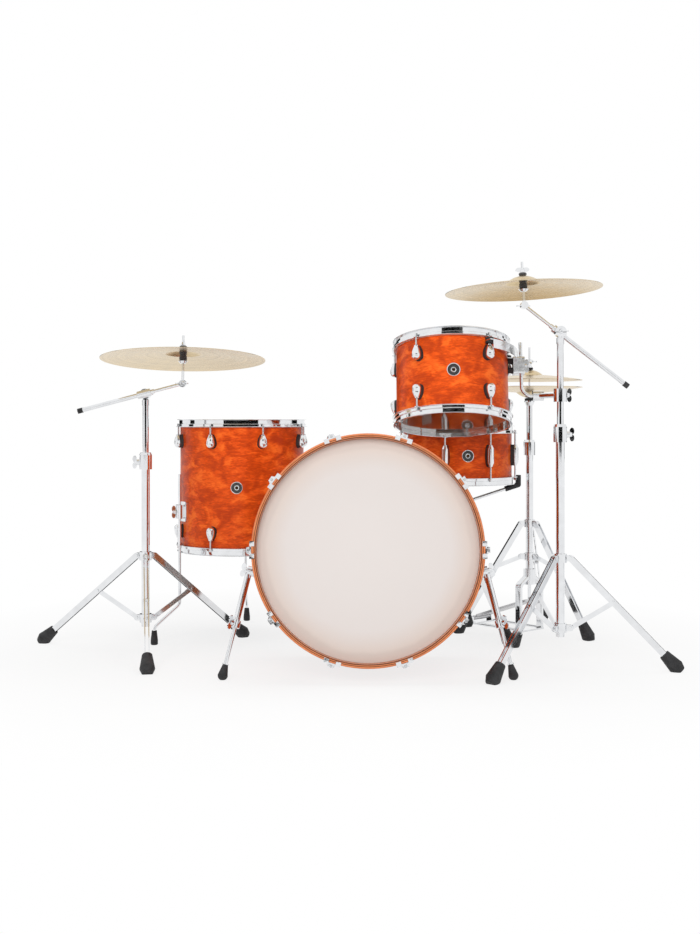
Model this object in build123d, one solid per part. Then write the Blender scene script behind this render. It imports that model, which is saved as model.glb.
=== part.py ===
from build123d import *

import os
from math import cos, radians, sin, sqrt, tan

# Acoustic drum kit: bass drum, rack tom, floor tom, snare, hi-hat and two cymbals on their stands.
# Millimetres, +Z up, standing on Z = 0. X runs to the audience's right, Y from the audience to the player.
# Places on the floor are measured from the front of the bass drum and moved to the middle of the kit.

INCH = 25.4
KIT_MIDDLE_X = -76.9
KIT_MIDDLE_Y = 535.5

# Clearances
SEAT_GAP = 0.3
PIN_GAP = 0.1
SLIDE_GAP = 0.3
OVERRUN = 1.0

# Drum sizes
BASS_RADIUS = 12 * INCH
BASS_DEPTH = 14 * INCH
BASS_WALL = 7.2
BASS_TILT = 6.0
FLOOR_TOM_RADIUS = 8 * INCH
FLOOR_TOM_DEPTH = 16 * INCH
RACK_TOM_RADIUS = 6.5 * INCH
RACK_TOM_DEPTH = 9 * INCH
RACK_TOM_TILT = 12.5
SNARE_RADIUS = 7 * INCH
SNARE_DEPTH = 6.5 * INCH
TOM_WALL = 6.0
EDGE_CROWN = 1.6
VENT_RADIUS = 6.0

# Drum places: X, Y and the height of the drum's middle
FLOOR_TOM_PLACE = (-407, 746, 501)
RACK_TOM_PLACE = (253, 312, 823)
SNARE_PLACE = (305, 730, 601)

# Lugs: count and the angle of the first, from the audience side, or from the top on the bass drum
BASS_LUGS = (10, 18)
FLOOR_TOM_LUGS = (8, 22.5)
RACK_TOM_LUGS = (5, 33)
SNARE_LUGS = (8, -16.7)
FLOOR_TOM_VENT = 0.0
RACK_TOM_VENT = -3.0
SNARE_VENT = 5.8
LUG_SET = 36.0
LUG_RADIUS = 13.5
LUG_LENGTH = 43.0
LUG_NOSE_RADIUS = 6.5
LUG_NOSE_LENGTH = 3.0
TUBE_LUG_RADIUS = 10.5
TUBE_LUG_LENGTH = 68.0

# Heads and hoops
HEAD_FILM = 0.5
COLLAR_GAP = 0.8
FLESH_WIDTH = 5.5
FLESH_HEIGHT = 8.0
FLESH_DROP = 4.0
FLESH_BEVEL = 1.3
HOOP_SEAT = 0.1
HOOP_GAP = 0.5
HOOP_SHEET = 1.8
HOOP_RISE = 13.0
HOOP_LIP = 6.5
HOOP_FLANGE = 4.0
HOOP_CORNER = 0.75
EAR_RADIUS = 7.5
ROD_OFFSET = 13.6
ROD_RADIUS = 2.75
ROD_HOLE = 3.3
ROD_BITE = 14.0
SOCKET_SPARE = 2.0
ROD_FLANGE = 4.3
ROD_FLANGE_HEIGHT = 1.5
ROD_SQUARE = 6.0
ROD_HEAD = 8.0

# Bass drum hoops, claws and spurs
BASS_FLESH_WIDTH = 9.0
BASS_HOOP_WALL = 12.5
BASS_HOOP_DEPTH = 38.0
BASS_HOOP_CORNER = 3.0
BASS_ROD_OFFSET = 23.5
CLAW_SHEET = 4.0
CLAW_WIDTH = 48.0
CLAW_SLOT = 20.0
CLAW_GRIP = 9.0
CLAW_LENGTH = 31.0
CLAW_BOSS = 12.0
CLAW_BOSS_RADIUS = 5.2
CLAW_BOSS_HALF = 8.2
SPUR_ANGLE = 100.0
SPUR_FORWARD = 60.0
SPUR_STANDOFF = 36.0
SPUR_FOOT_SPREAD = 403.0
SPUR_FOOT_SETBACK = 40.0
SPUR_HEAD_RADIUS = 14.0
SPUR_HEAD_WIDTH = 10.0
SPUR_BOSS_WIDTH = 12.0
SPUR_BOLT_RADIUS = 4.0
SPUR_TUBE_RADIUS = 9.0
SPUR_TUBE_LENGTH = 165.0
SPUR_ROD_RADIUS = 6.0
SPUR_ROD_START = 112.0
SPUR_BORE_START = 40.0
SPUR_COLLAR = (13.0, 20.0)
SPUR_FOOT_LENGTH = 42.0
SPUR_FOOT_RADIUS = 14.0
SPUR_FOOT_BALL = 12.7
SPUR_FOOT_TOP = 7.6
SPUR_RING = (9.5, 4.0)
SPUR_SPACER = 5.0
SPUR_PLATE = (46.0, 58.0, 11.0)
SPUR_PLATE_CORNER = 9.0

# Floor tom legs
LEG_RADIUS = 5.0
LEG_OFFSET = 22.0
LEG_ANGLES = {"front": -58.0, "side": 60.0, "rear": 182.0}
LEG_TOP = 540.0
LEG_BEND_TOP = 122.0
LEG_BEND_LOW = 55.0
LEG_SPLAY = 88.0
LEG_BEND_RADIUS = 24.0
LEG_BRACKET_Z = 420.0
LEG_BRACKET = (46.0, 64.0, 10.0)
LEG_BRACKET_CORNER = 7.0
LEG_WEB = (24.0, 38.0, 3.0)
LEG_CLAMP_RADIUS = 14.0
LEG_CLAMP_HEIGHT = 44.0
LEG_FOOT_RADIUS = 11.5
LEG_FOOT_BEVEL = 2.5
LEG_FOOT_HEIGHT = 45.0
LEG_FOOT_SOCKET = 36.0
LEG_FOOT_TOP = 8.0

# Wing screws
SCREW_RADIUS = 3.0
WING_HUB_RADIUS = 6.0
WING_HUB_HEIGHT = 7.0
WING_REACH = 10.0
WING_HEIGHT = 6.5
WING_THICK = 3.6
WING_FLARE = 1.5

# Stands: floor place, foot circle, leg collar height, brace collar height and first foot's angle
LEFT_STAND = (-685, 487, 362, 293, 100, 10)
RIGHT_STAND = (560, 227, 320, 315, 113, -43)
HIHAT_STAND = (560, 850, 246, 365, 252, 41)
SNARE_STAND = (SNARE_PLACE[0], SNARE_PLACE[1], 205, 330, 130, 46)
STAND_TUBE = 12.7
STAND_WALL = 1.5
UPPER_TUBE = 9.5
UPPER_WALL = 1.5
COLLAR_WALL = 6.0
COLLAR_HEIGHT = 26.0
EAR_REACH = 17.0
EAR_THICK = 8.0
EAR_DEPTH = 18.0
STRIP_WIDTH = 18.0
STRIP_THICK = 3.0
STRIP_GAP = 0.2
BRACE_WIDTH = 14.0
BRACE_THICK = 4.0
FORK_THICK = 3.0
BRACE_AT = 0.42
PIN_RADIUS = 3.0
PIN_HEAD_RADIUS = 5.5
PIN_HEAD_HEIGHT = 1.8
BOOT_AXIS_Z = 19.0
BOOT_BELOW = 26.0
BOOT_ABOVE = 40.0
BOOT_RADIUS = 22.0
BOOT_TOP_RADIUS = 15.0
BOOT_CORNER = 5.0
STRIP_END = 8.0
CLAMP_WALL = 7.0
CLAMP_HEIGHT = 44.0
CLAMP_LIP = 8.0
LEFT_CLAMP_Z = 606.0
RIGHT_CLAMP_Z = 695.0
HIHAT_CLAMP_Z = 640.0
SNARE_CLAMP_Z = 392.0
UPPER_OVERLAP = 160.0

# Booms
LEFT_PIVOT_Z = 796.0
RIGHT_PIVOT_Z = 971.0
LEFT_BOOM = (14.8, 123.0, 196.0)
RIGHT_BOOM = (38.0, 128.0, 241.0)
BOOM_OFFSET = 26.0
BOOM_RADIUS = 7.0
BOOM_TIP_RADIUS = 4.8
BOOM_STEP = 32.0
RATCHET_RADIUS = 16.0
RATCHET_WIDTH = 16.0
RATCHET_GAP = 0.2
PIVOT_BOLT = 5.0
SLEEVE_RADIUS = 12.0
SLEEVE_LENGTH = 42.0
TILTER_RADIUS = 11.0
TILTER_WIDTH = 26.0
RATCHET_DROP = 18.0
RATCHET_CHEEK = 12.0
BOOM_CAP = (8.0, 16.0)
CUP_HEIGHT = 7.0
CUP_FLARE = 3.0

# Cymbals: radius, bell radius, bell height and bow height
LEFT_CYMBAL = (10 * INCH, 56.0, 16.0, 18.0)
RIGHT_CYMBAL = (9 * INCH, 52.0, 21.0, 22.0)
HIHAT_CYMBAL = (7 * INCH, 45.0, 18.0, 17.0)
LEFT_CYMBAL_LEAN = (5.7, 0.0)
RIGHT_CYMBAL_LEAN = (2.0, -2.6)
CYMBAL_THICK = 1.2
CYMBAL_HOLE = 6.5
BELL_MIDDLE = 0.6
BOW_MIDDLE = 0.4
LEFT_POST = 108.0
RIGHT_POST = 86.0
POST_RADIUS = 4.0
POST_ABOVE = 26.0
POST_TIP = (3.4, 16.0)
FELT_RADIUS = 12.0
FELT_BELOW = 38.0
FELT_DROP = 1.9
FELT_CONE = 3.8
FELT_ABOVE = 1.3
FELT_TOP = 10.0
SLEEVE_WALL = 1.1

# Hi-hat
HIHAT_RIM_Z = 826.0
HIHAT_OPEN = 24.0
PULL_RADIUS = 3.0
PULL_TOP = 962.0
CLUTCH_RADIUS = 6.5
HIHAT_SEAT_RADIUS = 17.0
YOKE_HUB_Z = 158.0
YOKE_HUB_HEIGHT = 52.0
YOKE_HUB_RADIUS = 21.0
YOKE_HALF = 54.0
YOKE_LEG = 12.0
BOARD_LENGTH = 270.0
BOARD_WIDTH = 88.0
BOARD_THICK = 8.0
BOARD_ANGLE = 18.8
BOARD_CORNER = 22.0
BOARD_TURN = 41.0
BOARD_TOE = 30.0
BOARD_SLOT = 22.0
HEEL_PIN_Z = 20.0
HEEL_PIN_RADIUS = 4.0
HEEL_LENGTH = 66.0
BASE_THICK = 6.0
FRAME_ROD = 5.0
LINK_WIDTH = 14.0
LINK_THICK = 3.0
SEAT_CUP_BELOW = 12.0
SEAT_CUP_RISE = 12.0
SEAT_CUP_RIM = 4.0
SEAT_CUP_FLARE = 3.0
SEAT_PAD = 10.0
SEAT_PAD_BEVEL = 2.0
YOKE_CORNER = 3.0
HEEL_EAR = (24.0, 18.0, 9.0)
CLUTCH_FELT = 7.0
CLUTCH_FLANGE = 4.0
CLUTCH_HEIGHT = 36.0
CLUTCH_SCREW = 28.0
CLUTCH_NUT = 8.0
CLUTCH_RIM = 3.0

# Rack tom mount and holder
MOUNT_PLATE = (28.0, 3.0)
MOUNT_BAND = (64.0, 91.0)
TAB_THICK = 3.0
TAB_RADIUS = 11.0
BUSH_RADIUS = 6.8
BUSH_FLANGE = 12.0
BUSH_LIP = 6.5
MOUNT_BLOCK = (34.0, 34.0, 52.0)
MOUNT_BLOCK_GAP = 16.5
BUMPER = (6.0, 10.0, 14.0)
MOUNT_BLOCK_Z = 54.0
MOUNT_CORNER = 5.0
LROD_RADIUS = 5.25
LROD_OFFSET = 41.0
LROD_TOP = 126.0
LROD_LOW = -37.0
LROD_REACH = 62.0
LROD_BEND = 28.0
HOLDER_BLOCK = 32.0
HOLDER_RADIUS = 15.0
HOLDER_ARM_RADIUS = 8.0
HOLDER_END = 2.0
STAND_CLAMP_RADIUS = 19.0
STAND_CLAMP_HEIGHT = 38.0

# Snare strainer, wires and basket
STRAINER_ANGLE = 145.0
STRAINER = (32.0, 62.0, 16.0)
STRAINER_Z = -14.0
STRAINER_CORNER = 4.0
BUTT = (36.0, 30.0, 12.0)
BUTT_Z = -30.0
LEVER_PIVOT_Z = -36.0
LEVER_BARREL = 5.0
LEVER_PIN = 2.5
LEVER_WIDTH = 24.0
LEVER_THICK = 5.0
LEVER_LENGTH = 60.0
WIRE_COUNT = 20
WIRE_PITCH = 2.1
WIRE_RADIUS = 0.8
WIRE_LENGTH = 290.0
WIRE_PLATE = (46.0, 12.0, 1.6)
STRAP_WIDTH = 20.0
STRAP_THICK = 0.8
GATE_WIDTH = 30.0
GATE_HEIGHT = 5.0
BASKET_PIVOT_Z = 416.0
BASKET_ANGLES = (95.0, 215.0, 335.0)
BASKET_KNUCKLE = 12.0
KNUCKLE_HALF = UPPER_TUBE + SEAT_GAP
CHEEK_THICK = 7.0
BASKET_HUB_RADIUS = 21.0
BASKET_HUB_HEIGHT = 18.0
BASKET_ARM = 5.0
GRIP_RADIUS = 9.0
GRIP_RISE = 32.0
GRIP_CLEAR = 1.5
GRIP_LENGTH = 46.0

BASE = (Align.CENTER, Align.CENTER, Align.MIN)


# Frames and points that pieces and joints share

def place(x, y, z=0.0):
    """Location of a floor place, moved to the middle of the kit."""
    return Pos(x - KIT_MIDDLE_X, y - KIT_MIDDLE_Y, z)


def from_front(angle):
    """Turn +X to a direction counted from the audience side towards the right."""
    return Rot(0, 0, angle - 90)


def from_top(angle):
    """Turn +X to a direction counted from the top of the bass drum towards the right."""
    return Rot(0, 0, 90 - angle)


def spread(count_and_first):
    """Angles of equally spaced lugs."""
    count, first = count_and_first
    return [first + 360 / count * i for i in range(count)]


def at(location, point):
    """World place of a point given in a frame."""
    return (location * Pos(*point)).position


HOOP_INNER = COLLAR_GAP + HEAD_FILM + HOOP_GAP
BASS_HOOP_OUTER = BASS_RADIUS + HOOP_INNER + BASS_HOOP_WALL
BASS_HOOP_BACK = BASS_DEPTH / 2 - FLESH_DROP + HOOP_SEAT
BASS_FACE = BASS_HOOP_BACK + BASS_HOOP_DEPTH
TILT = radians(BASS_TILT)
BASS_CENTRE_Z = BASS_FACE * sin(TILT) + BASS_HOOP_OUTER * cos(TILT)
BASS_FRAME = place(0, BASS_FACE * cos(TILT), BASS_CENTRE_Z) * Rot(90 - BASS_TILT, 0, 0)
FLOOR_TOM_FRAME = place(*FLOOR_TOM_PLACE)
RACK_TOM_FRAME = place(*RACK_TOM_PLACE) * Rot(-RACK_TOM_TILT, 0, 0)
SNARE_FRAME = place(*SNARE_PLACE)
LEFT_STAND_FRAME = place(*LEFT_STAND[:2])
RIGHT_STAND_FRAME = place(*RIGHT_STAND[:2])
HIHAT_FRAME = place(*HIHAT_STAND[:2])
SNARE_STAND_FRAME = place(*SNARE_STAND[:2])
LEFT_BOOM_FRAME = place(*LEFT_STAND[:2], LEFT_PIVOT_Z)
RIGHT_BOOM_FRAME = place(*RIGHT_STAND[:2], RIGHT_PIVOT_Z) * Rot(0, 0, 180)


def spur_points(side):
    """Pivot, foot point and hinge axis of one spur; side is 1 for the right and -1 for the left."""
    radius = BASS_RADIUS + SPUR_STANDOFF
    angle = radians(SPUR_ANGLE)
    pivot = at(BASS_FRAME, (side * radius * sin(angle), radius * cos(angle), SPUR_FORWARD))
    foot = at(place(side * SPUR_FOOT_SPREAD, SPUR_FOOT_SETBACK), (0, 0, 0))
    axis = (foot - pivot).cross(Vector(0, 1, 0)).normalized()
    outward = axis if axis.X * side > 0 else axis * -1
    return pivot, foot, outward


def cymbal_seat(boom_frame, boom, lean, post):
    """Tilter centre, post direction and cymbal hole centre at the end of a boom."""
    angle, front, _ = boom
    tilter = at(boom_frame, (front * cos(radians(angle)), -BOOM_OFFSET, front * sin(radians(angle))))
    normal = Vector(tan(radians(lean[1])), tan(radians(lean[0])), 1).normalized()
    return tilter, normal, tilter + normal * post


LEFT_SEAT = cymbal_seat(LEFT_BOOM_FRAME, LEFT_BOOM, LEFT_CYMBAL_LEAN, LEFT_POST)
RIGHT_SEAT = cymbal_seat(RIGHT_BOOM_FRAME, RIGHT_BOOM, RIGHT_CYMBAL_LEAN, RIGHT_POST)
TOM_TILT_POINT = at(RACK_TOM_FRAME, (RACK_TOM_RADIUS + LROD_OFFSET + LROD_REACH, 0, LROD_LOW))
PEDAL_FRAME = HIHAT_FRAME * Rot(0, 0, BOARD_TURN)
BOARD_REACH = BOARD_LENGTH - BOARD_TOE
HEEL_PIN = (0, BOARD_REACH * cos(radians(BOARD_ANGLE)), HEEL_PIN_Z)
LEVER_PIVOT_X = SNARE_RADIUS + SEAT_GAP + STRAINER[2] + LEVER_BARREL


# Basic shapes

def outline(*points, corner=0.0):
    """Face through points, with rounded corners."""
    face = Polygon(*points, align=None)
    if corner:
        face = fillet(face.vertices(), corner)
    return face


def turned(profile, arc=360):
    """Solid of revolution about Z from a (radius, height) profile."""
    return revolve(Plane.XZ * profile, Axis.Z, arc)


def bar(start, end, radius, bore=0.0):
    """Round bar or tube between two points."""
    run = Vector(*end) - Vector(*start)
    section = Circle(radius)
    if bore:
        section -= Circle(bore)
    return extrude(Plane(origin=Vector(*start), z_dir=run) * section, amount=run.length)


def rounded_block(width, height, depth, corner):
    """Block on the YZ plane that grows along +X, with its four long edges rounded."""
    face = RectangleRounded(width, height, corner)
    return extrude(Plane.YZ * face, amount=depth)


def wing_screw(reach, radius=SCREW_RADIUS):
    """Wing screw along Z with its tip at the origin and its hub resting at reach."""
    hub_top = reach + WING_HUB_HEIGHT
    shaft = Cylinder(radius, reach + OVERRUN, align=BASE)
    hub = Pos(0, 0, reach) * Cone(WING_HUB_RADIUS + WING_FLARE, WING_HUB_RADIUS, WING_HUB_HEIGHT, align=BASE)
    wings = Ellipse(WING_REACH, WING_HEIGHT)
    wings = Pos(WING_REACH, hub_top) * wings + Pos(-WING_REACH, hub_top) * wings
    return shaft + hub + extrude(Plane.XZ * wings, amount=WING_THICK / 2, both=True)


def screw_hole(reach, radius=SCREW_RADIUS):
    """Hole for a wing screw of the same reach, open at both ends."""
    start = -SEAT_GAP - OVERRUN
    return Pos(0, 0, start) * Cylinder(radius + PIN_GAP, reach + SEAT_GAP - start, align=BASE)


# Drums

def drum_shell(radius, wall, depth, vent=None):
    """Wood shell with two bevelled bearing edges and a vent hole on +X turned by the vent angle."""
    bevel = (wall - EDGE_CROWN) / 2
    half = depth / 2
    shell = turned(outline(
        (radius - wall, bevel - half), (radius - wall + bevel, -half), (radius - bevel, -half),
        (radius, bevel - half), (radius, half - bevel), (radius - bevel, half),
        (radius - wall + bevel, half), (radius - wall, half - bevel)))
    if vent is None:
        return shell
    drill = Cylinder(VENT_RADIUS, wall + 2 * OVERRUN, align=BASE)
    drill = Pos(radius - wall - OVERRUN, 0, 0) * Rot(0, 90, 0) * drill
    return shell - from_front(vent) * drill


def flesh_top(depth):
    return depth / 2 - FLESH_DROP


def ear_low(depth):
    return flesh_top(depth) - FLESH_HEIGHT


def drum_head(radius, depth, flesh_width):
    """Head for the +Z end: the film, and the flesh hoop with the collar that carries it."""
    film_low = depth / 2 + SEAT_GAP
    inner = radius + COLLAR_GAP
    rim = inner + flesh_width
    film = Pos(0, 0, film_low) * Cylinder(inner + HEAD_FILM, HEAD_FILM, align=BASE)
    flesh = turned(outline(
        (inner, ear_low(depth)), (rim, ear_low(depth)), (rim, flesh_top(depth) - FLESH_BEVEL),
        (rim - FLESH_BEVEL, flesh_top(depth)), (inner + HEAD_FILM, flesh_top(depth)),
        (inner + HEAD_FILM, film_low - PIN_GAP), (inner, film_low - PIN_GAP)))
    return [film, flesh]


def flanged_hoop(radius, depth, angles):
    """Triple-flanged steel hoop for the +Z end, with an ear and a hole at every lug."""
    seat = flesh_top(depth) + HOOP_SEAT
    low = ear_low(depth)
    rim = depth / 2 + HOOP_RISE
    wall = radius + HOOP_INNER
    skirt = radius + COLLAR_GAP + FLESH_WIDTH + SEAT_GAP
    ring = turned(outline(
        (wall, seat), (wall, rim), (wall + HOOP_SHEET + HOOP_LIP, rim),
        (wall + HOOP_SHEET + HOOP_LIP, rim - HOOP_SHEET), (wall + HOOP_SHEET, rim - HOOP_SHEET),
        (wall + HOOP_SHEET, seat + HOOP_SHEET), (skirt + HOOP_SHEET, seat + HOOP_SHEET),
        (skirt + HOOP_SHEET, low + HOOP_SHEET), (skirt + HOOP_SHEET + HOOP_FLANGE, low + HOOP_SHEET),
        (skirt + HOOP_SHEET + HOOP_FLANGE, low), (skirt, low), (skirt, seat), corner=HOOP_CORNER))
    hole_at = radius + ROD_OFFSET
    neck = hole_at - skirt - HOOP_SHEET / 2
    tab = Pos(hole_at, 0) * Circle(EAR_RADIUS) + Pos(hole_at - neck / 2, 0) * Rectangle(neck, 2 * EAR_RADIUS)
    tab -= Circle(skirt + HOOP_SHEET / 2)
    ear = Pos(0, 0, low) * extrude(tab, amount=HOOP_SHEET)
    hole = Pos(hole_at, 0, low - OVERRUN) * Cylinder(ROD_HOLE, HOOP_SHEET + 2 * OVERRUN, align=BASE)
    hoop = ring + [from_front(a) * ear for a in angles]
    return hoop - [from_front(a) * hole for a in angles]


def tension_rod(axis_at, seat, tip):
    """Rod on +X at a distance from the axis: square head and washer above the seat, shaft down to the tip."""
    shaft = Pos(0, 0, tip) * Cylinder(ROD_RADIUS, seat - tip + OVERRUN, align=BASE)
    washer = Pos(0, 0, seat) * Cylinder(ROD_FLANGE, ROD_FLANGE_HEIGHT, align=BASE)
    key = Pos(0, 0, seat + ROD_FLANGE_HEIGHT) * Box(ROD_SQUARE, ROD_SQUARE, ROD_HEAD, align=BASE)
    return Pos(axis_at, 0, 0) * (shaft + washer + key)


def lug_on_shell(half_face, radius, depth, offset, bores):
    """Cast lug on +X: a turned front over a straight base that follows the shell."""
    front = Rot(0, 0, -90) * turned(half_face, 180)
    base = extrude(Plane.YZ * (half_face + mirror(half_face, about=Plane.YZ)), amount=-offset - LUG_RADIUS)
    lug = Pos(radius + offset, 0, 0) * (front + base)
    lug -= Cylinder(radius + SEAT_GAP, depth)
    return lug - [Pos(radius + offset, 0, 0) * bore for bore in bores]


def rod_socket(nose):
    """Hole down a lug's nose for the tip of a tension rod."""
    depth = ROD_BITE + SOCKET_SPARE
    return Pos(0, 0, nose - depth) * Cylinder(ROD_RADIUS + PIN_GAP, depth + OVERRUN, align=BASE)


def teardrop_lug(radius, depth, offset):
    """Teardrop lug with its rod socket in a nose that points to +Z."""
    nose = depth / 2 - LUG_SET
    tail = nose - LUG_LENGTH
    belly = tail + LUG_RADIUS
    neck = nose - LUG_NOSE_LENGTH
    diagonal = LUG_RADIUS * cos(radians(45))
    half_face = make_face([
        ThreePointArc((0, tail), (diagonal, belly - diagonal), (LUG_RADIUS, belly)),
        TangentArc((LUG_RADIUS, belly), (LUG_NOSE_RADIUS, neck), tangent=(0, 1)),
        Polyline((LUG_NOSE_RADIUS, neck), (LUG_NOSE_RADIUS, nose), (0, nose), (0, tail))])
    socket = rod_socket(nose)
    return lug_on_shell(half_face, radius, depth, offset, [socket])


def tube_lug(radius, depth, offset):
    """Double-ended slim lug with a socket at each end."""
    nose = TUBE_LUG_LENGTH / 2
    neck = nose - LUG_NOSE_LENGTH
    shoulder = neck - 2 * (TUBE_LUG_RADIUS - LUG_NOSE_RADIUS)
    half_face = outline(
        (0, -nose), (LUG_NOSE_RADIUS, -nose), (LUG_NOSE_RADIUS, -neck), (TUBE_LUG_RADIUS, -shoulder),
        (TUBE_LUG_RADIUS, shoulder), (LUG_NOSE_RADIUS, neck), (LUG_NOSE_RADIUS, nose), (0, nose))
    socket = rod_socket(nose)
    return lug_on_shell(half_face, radius, depth, offset, [socket, mirror(socket, about=Plane.XY)])


def both_ends(*shapes):
    """Pieces for the +Z end and then their mirror images for the -Z end."""
    return list(shapes) + [mirror(shape, about=Plane.XY) for shape in shapes]


def flanged_drum(radius, depth, angles, vent):
    """Shell, hoops, heads and rods that the three upright drums share, in the drum's own frame."""
    nose = depth / 2 - LUG_SET
    rod = tension_rod(radius + ROD_OFFSET, ear_low(depth) + HOOP_SHEET, nose - ROD_BITE)
    return {
        "shell": [drum_shell(radius, TOM_WALL, depth, vent)],
        "hoops": both_ends(flanged_hoop(radius, depth, angles)),
        "heads": both_ends(*drum_head(radius, depth, FLESH_WIDTH)),
        "rods": [from_front(a) * r for a in angles for r in both_ends(rod)]}


def tom_lugs(radius, depth, angles):
    lug = teardrop_lug(radius, depth, ROD_OFFSET)
    return [from_front(a) * each for a in angles for each in both_ends(lug)]


# Bass drum

def bass_claw():
    """Claw hook on +X: two prongs over the hoop's face and a drilled boss behind the rod head."""
    inner = BASS_HOOP_OUTER + SEAT_GAP
    outer = inner + CLAW_SHEET
    face = BASS_FACE + SEAT_GAP
    back = BASS_FACE - CLAW_LENGTH
    rod_at = BASS_RADIUS + BASS_ROD_OFFSET
    hook = outline(
        (BASS_HOOP_OUTER - CLAW_GRIP, face), (inner, face), (inner, back), (outer, back),
        (outer, face + CLAW_SHEET), (BASS_HOOP_OUTER - CLAW_GRIP, face + CLAW_SHEET))
    claw = extrude(Plane.XZ * hook, amount=CLAW_WIDTH / 2, both=True)
    slot_depth = CLAW_GRIP + SEAT_GAP + CLAW_SHEET + 2 * OVERRUN
    slot = Pos(BASS_HOOP_OUTER - CLAW_GRIP - OVERRUN, 0, face - CLAW_SHEET)
    claw -= slot * Box(slot_depth, CLAW_SLOT, 3 * CLAW_SHEET, align=(Align.MIN, Align.CENTER, Align.MIN))
    ridge = outline(
        (inner, back), (rod_at + CLAW_BOSS_RADIUS, back), (rod_at + CLAW_BOSS_RADIUS, back + CLAW_BOSS),
        (inner, back + CLAW_BOSS))
    boss = extrude(Plane.XZ * ridge, amount=CLAW_BOSS_HALF, both=True)
    hole = Pos(rod_at, 0, back - OVERRUN) * Cylinder(ROD_HOLE, CLAW_BOSS + 2 * OVERRUN, align=BASE)
    return claw + boss - hole


def bass_drum():
    """Bass drum pieces in the drum's frame: +Z to the audience, +Y up."""
    angles = spread(BASS_LUGS)
    hoop = turned(outline(
        (BASS_RADIUS + HOOP_INNER, BASS_HOOP_BACK), (BASS_HOOP_OUTER, BASS_HOOP_BACK),
        (BASS_HOOP_OUTER, BASS_FACE), (BASS_RADIUS + HOOP_INNER, BASS_FACE), corner=BASS_HOOP_CORNER))
    head = drum_head(BASS_RADIUS, BASS_DEPTH, BASS_FLESH_WIDTH)
    nose = BASS_DEPTH / 2 - LUG_SET
    lug = teardrop_lug(BASS_RADIUS, BASS_DEPTH, BASS_ROD_OFFSET)
    seat = BASS_FACE - CLAW_LENGTH + CLAW_BOSS
    rod = tension_rod(BASS_RADIUS + BASS_ROD_OFFSET, seat, nose - ROD_BITE)
    heads = both_ends(*head)
    return {
        "bass_shell": [drum_shell(BASS_RADIUS, BASS_WALL, BASS_DEPTH)],
        "bass_hoops": both_ends(hoop),
        "bass_front_head": heads[:2],
        "bass_batter_head": heads[2:],
        "bass_lugs": [from_top(a) * each for a in angles for each in both_ends(lug)],
        "bass_claws": [from_top(a) * each for a in angles for each in both_ends(bass_claw())],
        "bass_tension_rods": [from_top(a) * each for a in angles for each in both_ends(rod)]}


def spur_bracket(side):
    """Bracket on the shell with its pivot boss and bolt."""
    pivot, _, outward = spur_points(side)
    width, length, thick = SPUR_PLATE
    frame = BASS_FRAME * from_top(side * SPUR_ANGLE)
    plate = Pos(BASS_RADIUS - thick, 0, SPUR_FORWARD) * rounded_block(
        width, length, 2 * thick, SPUR_PLATE_CORNER)
    boss_end = pivot - outward * (SPUR_HEAD_WIDTH / 2 + SEAT_GAP)
    boss = bar(boss_end - outward * (SPUR_BOSS_WIDTH + BASS_WALL), boss_end, SPUR_HEAD_RADIUS)
    shell = BASS_FRAME * Cylinder(BASS_RADIUS + SEAT_GAP, BASS_DEPTH)
    bolt_start = boss_end - outward * SPUR_BOSS_WIDTH
    bolt_end = pivot + outward * (SPUR_HEAD_WIDTH / 2 + SEAT_GAP)
    hole = bar(bolt_start - outward * PIN_GAP, boss_end + outward, SPUR_BOLT_RADIUS + PIN_GAP)
    bracket = frame * plate + boss - shell - hole
    wing_at = bolt_end + outward * SPUR_SPACER
    bolt = bar(bolt_end, wing_at, WING_HUB_RADIUS + WING_FLARE)
    bolt_frame = Plane(origin=bolt_start, x_dir=(0, 0, 1), z_dir=outward).location
    bolt += bolt_frame * wing_screw((wing_at - bolt_start).length, SPUR_BOLT_RADIUS)
    return [bracket, bolt]


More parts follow.
